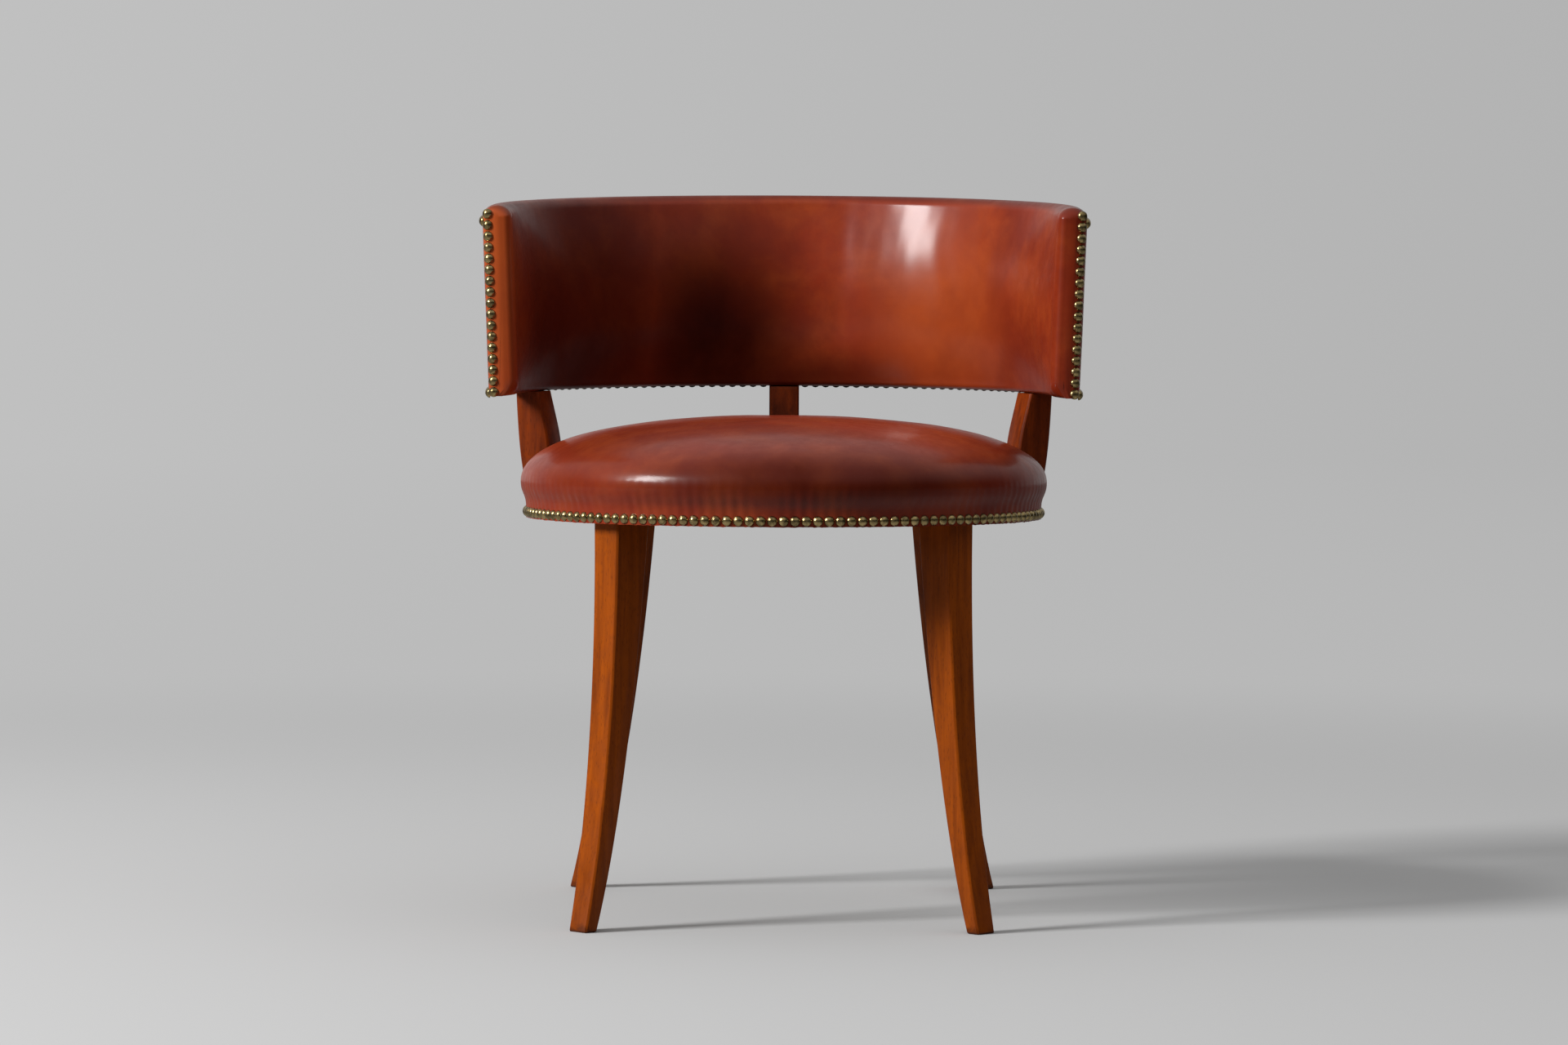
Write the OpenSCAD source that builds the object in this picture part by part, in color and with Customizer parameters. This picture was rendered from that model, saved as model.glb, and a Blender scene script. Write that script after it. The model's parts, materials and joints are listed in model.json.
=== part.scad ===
// Round-seated leather desk chair with a low wrap-around back.
// Millimetres. +Z is up and the sitter faces -Y. The origin lies on the floor, under the middle
// of the chair's bounding box. The seat and the back share one upright axis, called the seat axis.
// Left and right are as seen from the front, so right is +X. Angles round the seat axis start at +X,
// the side axis, and turn towards the rear.

/* [Seat] */
// Radius of the stuffed seat where it bulges most
seat_r = 252.7; // [250:0.1:262]
// Height of the seat's crown above the floor
seat_crown_z = 477.4; // [470:0.1:490]
// Height at which the seat is widest
seat_widest_z = 414; // [408:0.5:418]
// How far the flat of the crown reaches before it starts to fall
seat_crown_reach = 157; // [120:1:180]
// How far the side of the seat rises before it starts to turn in
seat_side_reach = 40; // [30:0.5:46]
// Thickness of the leather
leather_t = 1.8; // [1.2:0.1:2.4]
// How far the seat leather hangs below the seat frame
leather_drop = 0.5; // [0.5:0.5:3]

/* [Seat frame] */
// How far the seat bulges out beyond the sawn beech seat ring
seat_overhang = 7.3; // [6:0.1:10]
// Width of the ring, seen from above
ring_w = 46; // [40:1:56]
// Height of the ring
ring_h = 48; // [42:1:50]
// Chamfer along the ring's outer top edge, where the edge roll is tacked
ring_chamfer = 6; // [4:0.5:6.5]
// Height of the ring's underside above the floor
ring_z = 380; // [376:1:384]
// Diameter of the dowels in the ring
ring_dowel_d = 8; // [6:1:10]
// Length of the dowels in the ring
ring_dowel_l = 40; // [30:1:50]

/* [Webbing] */
// Width of a jute strap
strap_w = 48; // [36:1:52]
// Thickness of a jute strap
strap_t = 1.6; // [1:0.1:2]
// Distance between the middles of two neighbouring straps
strap_pitch = 74; // [70:1:76]
// Thickness of the hessian
hessian_t = 1; // [0.6:0.1:1.4]
// Distance of the hessian's edge from the ring's outer face
hessian_setback = 7.4; // [7:0.2:13]
// Width of the stuffed edge roll over the ring
edge_roll_w = 23.4; // [18:0.2:32]

/* [Legs] */
// Angle of the legs from the side axis
leg_azimuth = 45; // [42:0.5:47]
// Distance of a leg's outer face from the ring's outer face, at the top
leg_setback = 11.1; // [8:0.1:14]
// Depth of a leg at the top, towards the seat axis
leg_top_depth = 41; // [36:0.5:44]
// Width of a leg at the top
leg_top_w = 33; // [28:0.5:36]
// Width of a leg at the foot
leg_foot_w = 24; // [22:0.5:28]
// Depth of a leg at the foot
leg_foot_depth = 15.3; // [13:0.1:20]
// How far a front leg's outer face sweeps out from its top to the floor
front_splay = 35; // [30:0.5:40]
// How far a back leg's outer face sweeps out from its top to the floor
back_splay = 55.7; // [48:0.1:60]
// Height at which a leg's outer face starts to sweep out
leg_sweep_z = 370; // [340:1:374]
// Diameter of the round tenon on a leg
tenon_d = 22; // [18:1:24]
// Length of the round tenon on a leg
tenon_l = 30; // [22:1:34]
// Height of the ankle, where the outer face reaches its steepest
ankle_z = 95; // [80:1:120]
// Share of the outer face's sweep that is left below the ankle
ankle_share = 0.64; // [0.58:0.01:0.7]
// Chamfer along the edges of the legs and the supports
edge_ease = 1.8; // [0.6:0.1:3]
// Chamfer round the underside of a foot
foot_ease = 1.5; // [0.5:0.1:3]

/* [Back supports] */
// Angle of the side supports behind the side axis
support_azimuth = 24; // [20:0.5:28]
// Width of a support, along the seat's edge
support_w = 30; // [24:1:34]
// Distance of a support's outer edge from the back's outer face, just under the back
support_setback = 1.2; // [0.8:0.1:3]
// Depth of a support just under the back, towards the seat axis
support_depth = 22.2; // [20:0.1:24]
// How far a support's outer edge swings out from the ring above its lower tip
support_belly = 30.6; // [26:0.2:34]
// Thickness of a support's lower tip
support_tip_t = 12; // [9:0.5:16]
// Diameter of the screws that hold the supports
screw_d = 4.5; // [4:0.1:5]
// Length of the screws that hold the supports
screw_l = 58; // [54:1:58]
// Distance between the two screws of a support
screw_spacing = 18; // [14:1:20]

/* [Back] */
// Distance of the back's outer face from the seat's bulge, at the back's lower edge
back_offset = 30.7; // [29:0.1:33]
// Outward lean of the back
back_flare = 2.2; // [1:0.1:3]
// Thickness of the upholstered back
back_t = 25; // [24:0.1:27]
// Height of the top edge, at the side axis
back_top_z = 679; // [665:1:700]
// Height of the lower edge, at the side axis
back_low_z = 496; // [490:1:502]
// Tilt of the top edge, higher at the rear
top_tilt = 3.2; // [2:0.1:4]
// Tilt of the lower edge, higher at the rear
low_tilt = 1.3; // [0.5:0.1:2]
// How far the ends of the back reach forward of the side axis, as an angle
back_end_angle = 8; // [5:0.5:12]
// Radius of the top corner at each end
end_corner_r = 8; // [8:0.5:11]
// Rounding of the end's outer edge
end_outer_round = 8; // [6:0.5:8]
// Rounding of the end's inner edge
end_inner_round = 8; // [4:0.5:9]
// How far the padding swells out of the back's inner face
back_swell = 8; // [0:0.5:9]
// Distance from the ends over which the swell grows
swell_run = 75; // [40:5:100]
// Number of flat facets round the upholstery of the back
back_facets = 44; // [40:1:48]

/* [Back frame] */
// Thickness of the bent rails and the posts
frame_t = 12; // [10:0.5:13]
// Height of the bent rails
rail_h = 24; // [23:1:27]
// Width of the end posts
post_w = 24; // [18:1:30]
// Diameter of the dowels between rails and posts
frame_dowel_d = 5; // [4:0.5:5.5]
// Length of the dowels between rails and posts
frame_dowel_l = 30; // [24:1:36]
// Diameter of the screws between rails and supports
frame_screw_d = 3.5; // [3:0.1:4]
// Length of the screws between rails and supports
frame_screw_l = 10.5; // [9:0.5:11]

/* [Nails] */
// Diameter of a nail's domed head
nail_d = 9.2; // [8.6:0.1:10]
// Height of the domed head
nail_dome = 2.8; // [2:0.1:3.4]
// Diameter of a nail's shank
shank_d = 1.6; // [1.2:0.1:2]
// Length of a nail's shank
shank_l = 12; // [10:0.5:13]
// Spacing of the nails round the seat
seat_nail_pitch = 10.44; // [10.2:0.01:12]
// Spacing of the nails on the back
back_nail_pitch = 10.5; // [10.2:0.1:12]
// Height of the seat nails above the leather's lower edge
seat_nail_lift = 5.5; // [5.2:0.1:7]
// Distance of the back's nails from its lower edge, and from the seam under the top roll
back_nail_inset = 3; // [2.8:0.1:4.4]
// How far the nails on the ends turn outwards from the end's face
end_nail_turn = 32; // [20:1:45]

/* [Clearances] */
// Gap between a soft layer and what it lies on
soft_gap = 0.3; // [0.25:0.05:0.4]
// Gap round a glued tenon, dowel or screw
glue_gap = 0.1; // [0.05:0.01:0.2]

/* [Hidden] */
$fn = 96;

// Larger than the chair, for blocks that cut or keep one side of it
far = 800;
// A small overlap that joins two shapes of one piece, or clears a cut's rim
bite = 0.5;

// Colours
wood = [0.58, 0.28, 0.11];
bare_wood = [0.80, 0.62, 0.42];
leather = [0.50, 0.15, 0.07];
brass = [0.55, 0.43, 0.20];
steel = [0.62, 0.62, 0.64];
jute = [0.66, 0.54, 0.36];
hair = [0.30, 0.25, 0.20];

// Points on a cubic curve with four control points
function bezier(p, t) =
    pow(1 - t, 3) * p[0] + 3 * t * pow(1 - t, 2) * p[1] + 3 * t * t * (1 - t) * p[2] + pow(t, 3) * p[3];
function curve(p, steps) = [for (i = [0:steps]) bezier(p, i / steps)];
function reversed(points) = [for (i = [len(points) - 1:-1:0]) points[i]];

// The frame and the back take their radii from the seat
ring_r = seat_r - seat_overhang;
back_r = seat_r + back_offset;

// Seat section, from the crown out and down to the lower edge
seat_edge_z = ring_z - leather_drop;
seat_nail_z = seat_edge_z + seat_nail_lift;
skin_in = leather_t + soft_gap;
seat_nail_r = ring_r + skin_in;
skirt_top_z = seat_nail_z + nail_d / 2;
tuck = (seat_widest_z - skirt_top_z) / 2;
dome_steps = 24;
skirt_steps = 8;
seat_skin = concat(
    curve([[0, seat_crown_z], [seat_crown_reach, seat_crown_z],
           [seat_r, seat_widest_z + seat_side_reach], [seat_r, seat_widest_z]], dome_steps),
    curve([[seat_r, seat_widest_z - bite], [seat_r, seat_widest_z - tuck],
           [seat_nail_r, skirt_top_z + tuck], [seat_nail_r, skirt_top_z]], skirt_steps),
    [[seat_nail_r, seat_edge_z]]
);

// The same section a distance d further in. Its first point stays on the seat axis.
function inset(points, d) = [
    for (i = [0:len(points) - 1])
        let (run = points[min(i + 1, len(points) - 1)] - points[max(i - 1, 0)])
        i == 0 ? points[0] - [0, d] : points[i] + d * [run[1], -run[0]] / norm(run)
];

// Seat frame
ring_top_z = ring_z + ring_h;
ring_mid_r = ring_r - ring_w / 2;
piece_count = 6;
piece_angle = 360 / piece_count;
ring_joints = [for (i = [0:piece_count - 1]) i * piece_angle];
// Half section of the ring, grown by a gap on its outside and top
function ringSection(gap) = let (corner_gap = gap * (sqrt(2) - 1)) [
    [ring_r - ring_w, ring_z], [ring_r + gap, ring_z],
    [ring_r + gap, ring_top_z - ring_chamfer + corner_gap],
    [ring_r - ring_chamfer + corner_gap, ring_top_z + gap],
    [ring_r - ring_w, ring_top_z + gap]
];
// Heights of a joint's two dowels, as shares of the ring's height
dowel_shares = [0.3, 0.7];
leg_angles = [leg_azimuth, 180 - leg_azimuth, 180 + leg_azimuth, 360 - leg_azimuth];
support_angles = [support_azimuth, 90, 180 - support_azimuth];

// Layers over the ring
strap_step = strap_t + soft_gap;
hessian_z = ring_top_z + 2 * strap_step;
pad_base_z = hessian_z + hessian_t + soft_gap;
strap_count = 4;
strap_places = [for (i = [0:strap_count - 1]) (i - (strap_count - 1) / 2) * strap_pitch];
hessian_r = ring_r - hessian_setback;
strap_tack_r = hessian_r - 1;
// Run over which a strap climbs over another
strap_ramp = 8;
roll_start_r = ring_r - edge_roll_w;
// The roll's skirt ends above the nails, and the slots for the supports reach into the ring's rim
roll_skirt_z = skirt_top_z + 8;
slot_r = ring_r - 1.5;

// Back. Radii grow with height by the flare, and both edges tilt up towards the rear.
flare_run = tan(back_flare);
zone_margin = 40;
back_zone_low = back_low_z - zone_margin;
back_zone_high = back_top_z + zone_margin;
function outerR(z) = back_r + (z - back_low_z) * flare_run;
function topZ(az) = back_top_z + tan(top_tilt) * back_r * sin(az);
function lowZ(az) = back_low_z + tan(low_tilt) * back_r * sin(az);
function arcAngle(length) = length / back_r * 180 / PI;
back_start = -back_end_angle;
back_stop = 180 + back_end_angle;
facet_sag = back_r * (1 - cos((back_stop - back_start) / back_facets / 2));
lining_out = leather_t + soft_gap + facet_sag;
frame_out = lining_out + hessian_t + soft_gap;
frame_in = frame_out + frame_t;
hessian_in = frame_in + soft_gap + hessian_t;
pad_out = hessian_in + soft_gap;
frame_low = skin_in + back_t * tan(low_tilt);
frame_high = back_t / 2 + 0.8;
post_start = back_start + arcAngle(end_outer_round + soft_gap);
post_stop = post_start + arcAngle(post_w);
back_reach = outerR(back_top_z) + nail_dome;
centre_y = (back_reach - seat_r) / 2;

// How far a rounded corner of radius r cuts in, at a distance u from its end
function corner(u, r) = u >= r ? 0 : r - sqrt(max(0, r * r - (r - u) * (r - u)));
function swellAt(u) = back_swell * pow(sin(90 * max(0, min(1, u / swell_run))), 2);
function toEnd(az) = min(az - back_start, back_stop - az) / 180 * PI * back_r;

// Angles of the rings of points round the back, for a surface d inside the leather's outside
corner_step = 30;
function endSteps(d) = [for (a = [0:corner_step:90]) arcAngle(d + (end_corner_r - d) * (1 - cos(a)))];
first_facet = back_start + arcAngle(end_corner_r);
middle_stations = [for (i = [1:back_facets - 1]) first_facet + (180 - 2 * first_facet) * i / back_facets];
function stations(d) = concat(
    [for (s = endSteps(d)) back_start + s], middle_stations, [for (s = reversed(endSteps(d))) back_stop - s]);
function stationsFrom(az) = concat([az], middle_stations, [180 - az]);
wrap_ring = 90 / corner_step;
// Angle between the points over the top roll
roll_step = 30;

// Section of the upholstered back at one angle, d inside its outside, as [radius, height] points
// that run over the top roll, down the inner face and out along the lower edge
function backSection(az, d) = let (
        u = toEnd(az) - d,
        top = topZ(az) - d - corner(u, end_corner_r - d),
        low = lowZ(az) + d,
        round_in = corner(u, max(end_inner_round - d, 1)),
        round_out = corner(u, max(end_outer_round - d, 1)),
        depth = back_t - 2 * d - round_in - round_out,
        roll = depth / 2,
        mid_z = top - roll,
        shift = d + round_out,
        lip = end_inner_round / 2,
        inner = shift + depth,
        swell_z = (low + mid_z) / 2
    ) concat(
        [for (a = [0:roll_step:180]) [outerR(mid_z) - shift - roll + roll * cos(a), mid_z + roll * sin(a)]],
        [[outerR(swell_z) - inner - swellAt(u), swell_z],
         [outerR(low + lip) - inner, low + lip],
         [outerR(low) - inner + lip, low],
         [outerR(low) - shift, low]]
    );

function ringAt(az, section) = [for (p = section) [p[0] * cos(az), p[0] * sin(az), p[1]]];
function flat(lists) = [for (l = lists) for (x = l) x];
function skinRings(d) = [for (az = stations(d)) ringAt(az, backSection(az, d))];

// Two triangles between neighbouring points j and k of ring i and the next ring, n points a ring
function quad(i, j, k, n, base) = [
    [base + i * n + j, base + (i + 1) * n + j, base + (i + 1) * n + k],
    [base + i * n + j, base + (i + 1) * n + k, base + i * n + k]
];
function flipped(faces) = [for (f = faces) reversed(f)];

// Closed solid through rings of points
module loft(rings) {
    n = len(rings[0]);
    m = len(rings);
    polyhedron(
        flat(rings),
        flipped(concat(
            [for (i = [0:m - 2]) for (j = [0:n - 1]) for (f = quad(i, j, (j + 1) % n, n, 0)) f],
            [[for (j = [0:n - 1]) j]],
            [[for (j = [n - 1:-1:0]) (m - 1) * n + j]]
        ))
    );
}

// Leather tray through an outer and an inner set of rings. It is open towards the rear, but wraps
// round both ends as far as ring number wrap.
module tray(outer, inner, wrap) {
    n = len(outer[0]);
    k = len(inner[0]);
    m = len(outer);
    base = n * m;
    ends = concat([for (i = [0:wrap - 1]) i], [for (i = [m - 1 - wrap:m - 2]) i]);
    polyhedron(
        concat(flat(outer), flat(inner)),
        flipped(concat(
            [for (i = [0:m - 2]) for (j = [0:n - 2]) for (f = quad(i, j, j + 1, n, 0)) f],
            [for (i = [0:m - 2]) for (j = [0:k - 2]) for (f = flipped(quad(i, j, j + 1, k, base))) f],
            [for (i = ends) for (f = quad(i, n - 1, 0, n, 0)) f],
            [for (i = ends) for (f = flipped(quad(i, k - 1, 0, k, base))) f],
            [for (i = [wrap:m - 2 - wrap]) for (f = rim(i, 0, 0, n, k, base)) f],
            [for (i = [wrap:m - 2 - wrap]) for (f = flipped(rim(i, n - 1, k - 1, n, k, base))) f],
            endRim(wrap, n, k, base),
            flipped(endRim(m - 1 - wrap, n, k, base)),
            [[for (j = [0:n - 1]) j], [for (j = [n - 1:-1:0]) (m - 1) * n + j]],
            [[for (j = [k - 1:-1:0]) base + j], [for (j = [0:k - 1]) base + (m - 1) * k + j]]
        ))
    );
}
function rim(i, j, l, n, k, base) = [
    [i * n + j, base + i * k + l, base + (i + 1) * k + l],
    [i * n + j, base + (i + 1) * k + l, (i + 1) * n + j]
];
function endRim(i, n, k, base) = [
    [i * n + n - 1, base + i * k + k - 1, base + i * k],
    [i * n + n - 1, base + i * k, i * n]
];

// Everything below a tilted plane that crosses the seat axis at height z
module below(z, tilt) {
    translate([0, 0, z]) rotate([tilt, 0, 0])
        translate([-far, -far, -far]) cube([2 * far, 2 * far, far]);
}

// Conical shell of the back between two depths under its outer face and two angles
module shell(outer_depth, inner_depth, from, to) {
    rotate([0, 0, from]) rotate_extrude(angle = to - from)
        polygon([for (p = [[inner_depth, back_zone_low], [outer_depth, back_zone_low],
                           [outer_depth, back_zone_high], [inner_depth, back_zone_high]])
                 [outerR(p[1]) - p[0], p[1]]]);
}

// Part of the back's height, by distances from its lower and top edges
module band(above_low, under_top) {
    difference() {
        intersection() {
            children();
            below(back_top_z - under_top, top_tilt);
        }
        below(back_low_z + above_low, low_tilt);
    }
}
module lowerRailZone(gap) {
    intersection() {
        children();
        below(back_low_z + frame_low + rail_h + gap, low_tilt);
    }
}
module upperRailZone(gap) {
    difference() {
        children();
        below(back_top_z - frame_high - rail_h - gap, top_tilt);
    }
}

// Round parts that lie along the seat's edge, or point at the seat axis
module alongRing(az, r, z, d, length) {
    rotate([0, 0, az]) translate([r, 0, z]) rotate([90, 0, 0]) cylinder(d = d, h = length, center = true);
}
module outwards(az, r, z, lean = 0) {
    rotate([0, 0, az]) translate([r, 0, z]) rotate([0, 90 + lean, 0]) children();
}

// Countersunk screw whose head lies at the origin, driven along +Z
module woodScrew(d, length, gap) {
    head_h = d / 2 + gap;
    translate([0, 0, -gap]) cylinder(d1 = 2 * d + 2 * gap, d2 = d + 2 * gap, h = head_h);
    translate([0, 0, head_h - gap - bite / 10]) cylinder(d = d + 2 * gap, h = length - head_h + 2 * gap);
}

// Domed nail whose head sits on the plane z = 0
module nail() {
    dome_r = (nail_d * nail_d / 4 + nail_dome * nail_dome) / (2 * nail_dome);
    rotate_extrude($fn = 24) {
        intersection() {
            translate([0, nail_dome - dome_r]) circle(dome_r);
            square([nail_d, nail_dome + bite]);
        }
        translate([0, -shank_l]) square([shank_d / 2, shank_l + nail_dome / 2]);
    }
}

// Places the seat axis so that the chair's bounding box is centred on the origin
module place() {
    translate([0, -centre_y, 0]) children();
}

// Bar with a curved outer and inner face, given as [radius, height] points that run downwards, and
// flat sides. Its width goes from w at the ring's underside to foot_w at the floor. The long edges
// are eased by the same profiles turned by 45 degrees, moved out by half the width less the chamfer.
function halfWidth(z, w, foot_w) = (foot_w + (w - foot_w) * z / ring_z) / 2;
function turned(points, side, w, foot_w) = [
    for (p = points) [(p[0] + side * (halfWidth(p[1], w, foot_w) - edge_ease)) / sqrt(2), p[1]]
];
module bar(outer, inner, w, foot_w) {
    intersection() {
        sideView(outer, inner, w);
        intersection_for (turn = [-45, 45]) rotate([0, 0, turn])
            sideView(turned(outer, 1, w, foot_w), turned(inner, -1, w, foot_w), far);
    }
}
module sideView(outer, inner, w) {
    rotate([90, 0, 0]) linear_extrude(w, center = true) polygon(concat(outer, reversed(inner)));
}

// Legs: a sabre outline seen from the side, tapered in width
leg_steps = 20;
leg_top_r = ring_r - leg_setback;
tenon_r = (ring_mid_r + leg_top_r - leg_top_depth / 2) / 2;
sweep_share = 1 - ankle_share;
inner_hip_z = ring_z * 2 / 3;
inner_hip_share = 0.16;
inner_ankle_z = 100;
inner_ankle_share = 0.473;

// A profile that runs down to the floor, with its last corner cut off towards the foot's middle
function easedFoot(points, side) = let (
        last = len(points) - 1,
        foot = points[last],
        rise = (points[last - 1] - foot) * foot_ease / points[last - 1][1]
    ) concat([for (i = [0:last - 1]) points[i]], [foot + rise, foot - [side * foot_ease, 0]]);
function legHalf(z) = halfWidth(z, leg_top_w, leg_foot_w);
module leg(az, splay) {
    foot_r = leg_top_r + splay;
    top_in = leg_top_r - leg_top_depth;
    foot_in = foot_r - leg_foot_depth;
    outer = concat([[leg_top_r, ring_z]], curve([
        [leg_top_r, leg_sweep_z],
        [leg_top_r, (leg_sweep_z + ankle_z) / 2],
        [leg_top_r + (foot_r - leg_top_r) * sweep_share, ankle_z],
        [foot_r, 0]
    ], leg_steps));
    inner = curve([
        [top_in, ring_z],
        [top_in + (foot_in - top_in) * inner_hip_share, inner_hip_z],
        [top_in + (foot_in - top_in) * inner_ankle_share, inner_ankle_z],
        [foot_in, 0]
    ], leg_steps);
    front = [[legHalf(ring_z), ring_z], [legHalf(foot_ease), foot_ease], [legHalf(0) - foot_ease, 0]];
    color(wood) place() rotate([0, 0, az]) {
        intersection() {
            bar(easedFoot(outer, 1), easedFoot(inner, -1), leg_top_w, leg_foot_w);
            rotate([90, 0, 90]) linear_extrude(far)
                polygon(concat(front, reversed([for (p = front) [-p[0], p[1]]])));
        }
        translate([tenon_r, 0, ring_z - bite]) cylinder(d = tenon_d, h = tenon_l + bite);
    }
}
module leg_front_left() { leg(leg_angles[2], front_splay); }
module leg_front_right() { leg(leg_angles[3], front_splay); }
module leg_back_left() { leg(leg_angles[1], back_splay); }
module leg_back_right() { leg(leg_angles[0], back_splay); }

// Seat ring: sawn pieces, butted and dowelled, with mortices for the legs
module ringDowels(gap) {
    for (az = ring_joints) for (share = dowel_shares)
        alongRing(az, ring_mid_r, ring_z + share * ring_h, ring_dowel_d + 2 * gap, ring_dowel_l + 2 * gap);
}
module supportScrews(gap) {
    for (az = support_angles) for (side = [-1, 1])
        outwards(az, ring_r - ring_w, ring_z + ring_h / 2 + side * screw_spacing / 2)
            woodScrew(screw_d, screw_l, gap);
}
module ringPiece(number) {
    color(bare_wood) place() difference() {
        rotate([0, 0, number * piece_angle]) rotate_extrude(angle = piece_angle) polygon(ringSection(0));
        for (az = leg_angles) rotate([0, 0, az]) translate([tenon_r, 0, ring_z - bite])
            cylinder(d = tenon_d + 2 * glue_gap, h = tenon_l + glue_gap + bite);
        ringDowels(glue_gap);
        supportScrews(glue_gap);
    }
}
module seat_rail_back_right() { ringPiece(0); }
module seat_rail_back() { ringPiece(1); }
module seat_rail_back_left() { ringPiece(2); }
module seat_rail_front_left() { ringPiece(3); }
module seat_rail_front() { ringPiece(4); }
module seat_rail_front_right() { ringPiece(5); }
module seat_rail_dowels() { color(bare_wood) place() ringDowels(0); }

// One jute strap along X, which climbs over every second strap that it crosses
module strap(place_y, parity) {
    half = strap_w / 2;
    length = sqrt(strap_tack_r * strap_tack_r - pow(abs(place_y) + half, 2));
    route = concat([[-length, 0]], [
        for (i = [0:strap_count - 1]) if (i % 2 == parity) for (p = [
            [-half - strap_ramp, 0], [-half - bite, strap_step],
            [half + bite, strap_step], [half + strap_ramp, 0]
        ]) [strap_places[i] + p[0], p[1]]
    ], [[length, 0]]);
    translate([0, place_y, ring_top_z]) rotate([90, 0, 0]) linear_extrude(strap_w, center = true)
        polygon(concat(route, reversed([for (p = route) p + [0, strap_t]])));
}
module straps() {
    color(jute) for (i = [0:strap_count - 1]) strap(strap_places[i], i % 2);
}
module seat_webbing_across() { place() straps(); }
module seat_webbing_lengthwise() { place() rotate([0, 0, 90]) straps(); }
module seat_hessian() {
    color(jute) place() translate([0, 0, hessian_z]) cylinder(r = hessian_r, h = hessian_t);
}

// Seat upholstery, all from the same section
module seatFill(d) {
    polygon(concat(inset(seat_skin, d), [[0, seat_edge_z]]));
}
module supportSlots() {
    for (az = support_angles) rotate([0, 0, az])
        translate([slot_r, -support_w / 2 - soft_gap, seat_edge_z - bite])
            cube([far, support_w + 2 * soft_gap, seat_crown_z]);
}
module seat_stuffing() {
    color(hair) place() rotate_extrude() intersection() {
        seatFill(skin_in);
        translate([0, pad_base_z]) square([roll_start_r - soft_gap, seat_crown_z]);
    }
}
module seat_edge_roll() {
    color(hair) place() difference() {
        rotate_extrude() difference() {
            seatFill(skin_in);
            square([roll_start_r, seat_crown_z]);
            square([hessian_r + soft_gap, pad_base_z]);
            square([seat_r, roll_skirt_z]);
            polygon(ringSection(soft_gap));
        }
        supportSlots();
    }
}
module seat_leather() {
    color(leather) place() difference() {
        rotate_extrude() polygon(concat(seat_skin, reversed(inset(seat_skin, leather_t))));
        supportSlots();
    }
}
nail_count = floor(2 * PI * seat_nail_r / seat_nail_pitch);
nail_clear = asin((support_w + nail_d) / 2 / seat_nail_r);
function clearOfSupports(az) = min([for (s = support_angles) abs(az - s)]) > nail_clear;
module seat_nails() {
    color(brass) place() for (i = [0:nail_count - 1]) {
        az = 360 * i / nail_count;
        if (clearOfSupports(az)) outwards(az, seat_nail_r, seat_nail_z) nail();
    }
}

// Supports: curved brackets against the seat ring that run up inside the back
support_steps = 16;
support_out_r = back_r - support_setback;
support_in_r = support_out_r - support_depth;
belly_rise = 21;
waist_rise = 66;
waist_in = 3.2;
support_top_z = back_low_z + 14;
inner_rise_z = ring_top_z + 6;
inner_reach = 24;
inner_bow = 7;
inner_bow_z = back_low_z - 20;
// Half the angle round a support in which its upper part and the rails' notches are cut
lap_angle = 10;
lap_depth = frame_out + frame_t / 2;
module supportBox(az, gap) {
    rotate([0, 0, az]) translate([ring_mid_r, -support_w / 2 - gap, 0])
        cube([far, support_w + 2 * gap, far + back_top_z]);
}
module lowerSupport(az) {
    outer = curve([
        [support_out_r, support_top_z], [support_out_r - waist_in, ring_z + waist_rise],
        [ring_r + support_belly, ring_z + belly_rise], [ring_r + support_tip_t, ring_z]
    ], support_steps);
    inner = curve([
        [support_in_r, support_top_z], [support_in_r - inner_bow, inner_bow_z],
        [ring_r - bite, inner_rise_z + inner_reach], [ring_r - bite, inner_rise_z]
    ], support_steps);
    difference() {
        rotate([0, 0, az]) bar(outer, concat(inner, [[ring_r - bite, ring_z]]), support_w, support_w);
        translate([0, 0, ring_z - bite]) cylinder(r = ring_r + glue_gap, h = ring_h + inner_reach);
    }
}
module support(az) {
    color(wood) place() difference() {
        union() {
            intersection() {
                lowerSupport(az);
                below(back_low_z - soft_gap, low_tilt);
            }
            intersection() {
                band(-2 * bite, frame_high) shell(frame_out, frame_in, az - lap_angle, az + lap_angle);
                supportBox(az, 0);
            }
        }
        railZones(glue_gap) shell(lap_depth, frame_in + bite, az - lap_angle, az + lap_angle);
        supportScrews(glue_gap);
        frameScrews(glue_gap);
    }
}
module railZones(gap) {
    difference() {
        lowerRailZone(gap) children();
        below(back_low_z + frame_low - gap, low_tilt);
    }
    upperRailZone(gap) children();
}
module support_right() { support(support_angles[0]); }
module support_back() { support(support_angles[1]); }
module support_left() { support(support_angles[2]); }
module support_screws() { color(steel) place() supportScrews(0); }

// Frame inside the back: two bent rails lapped over the supports, and a post at each end
function lowRailZ(az) = lowZ(az) + frame_low + rail_h / 2;
function topRailZ(az) = topZ(az) - frame_high - rail_h / 2;
frame_screw_spread = 16;
frame_dowel_spread = 9;
module frameScrews(gap) {
    for (middle = support_angles) for (side = [-1, 1]) {
        az = middle + side * arcAngle(frame_screw_spread / 2);
        for (z = [lowRailZ(az), topRailZ(az)])
            outwards(az, outerR(z) - frame_in, z, back_flare) woodScrew(frame_screw_d, frame_screw_l, gap);
    }
}
module frameDowels(gap) {
    for (az = [post_stop, 180 - post_stop]) for (middle = [lowRailZ(az), topRailZ(az)]) for (side = [-1, 1]) {
        z = middle + side * frame_dowel_spread / 2;
        alongRing(az, outerR(z) - lap_depth, z, frame_dowel_d + 2 * gap, frame_dowel_l + 2 * gap);
    }
}
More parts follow.
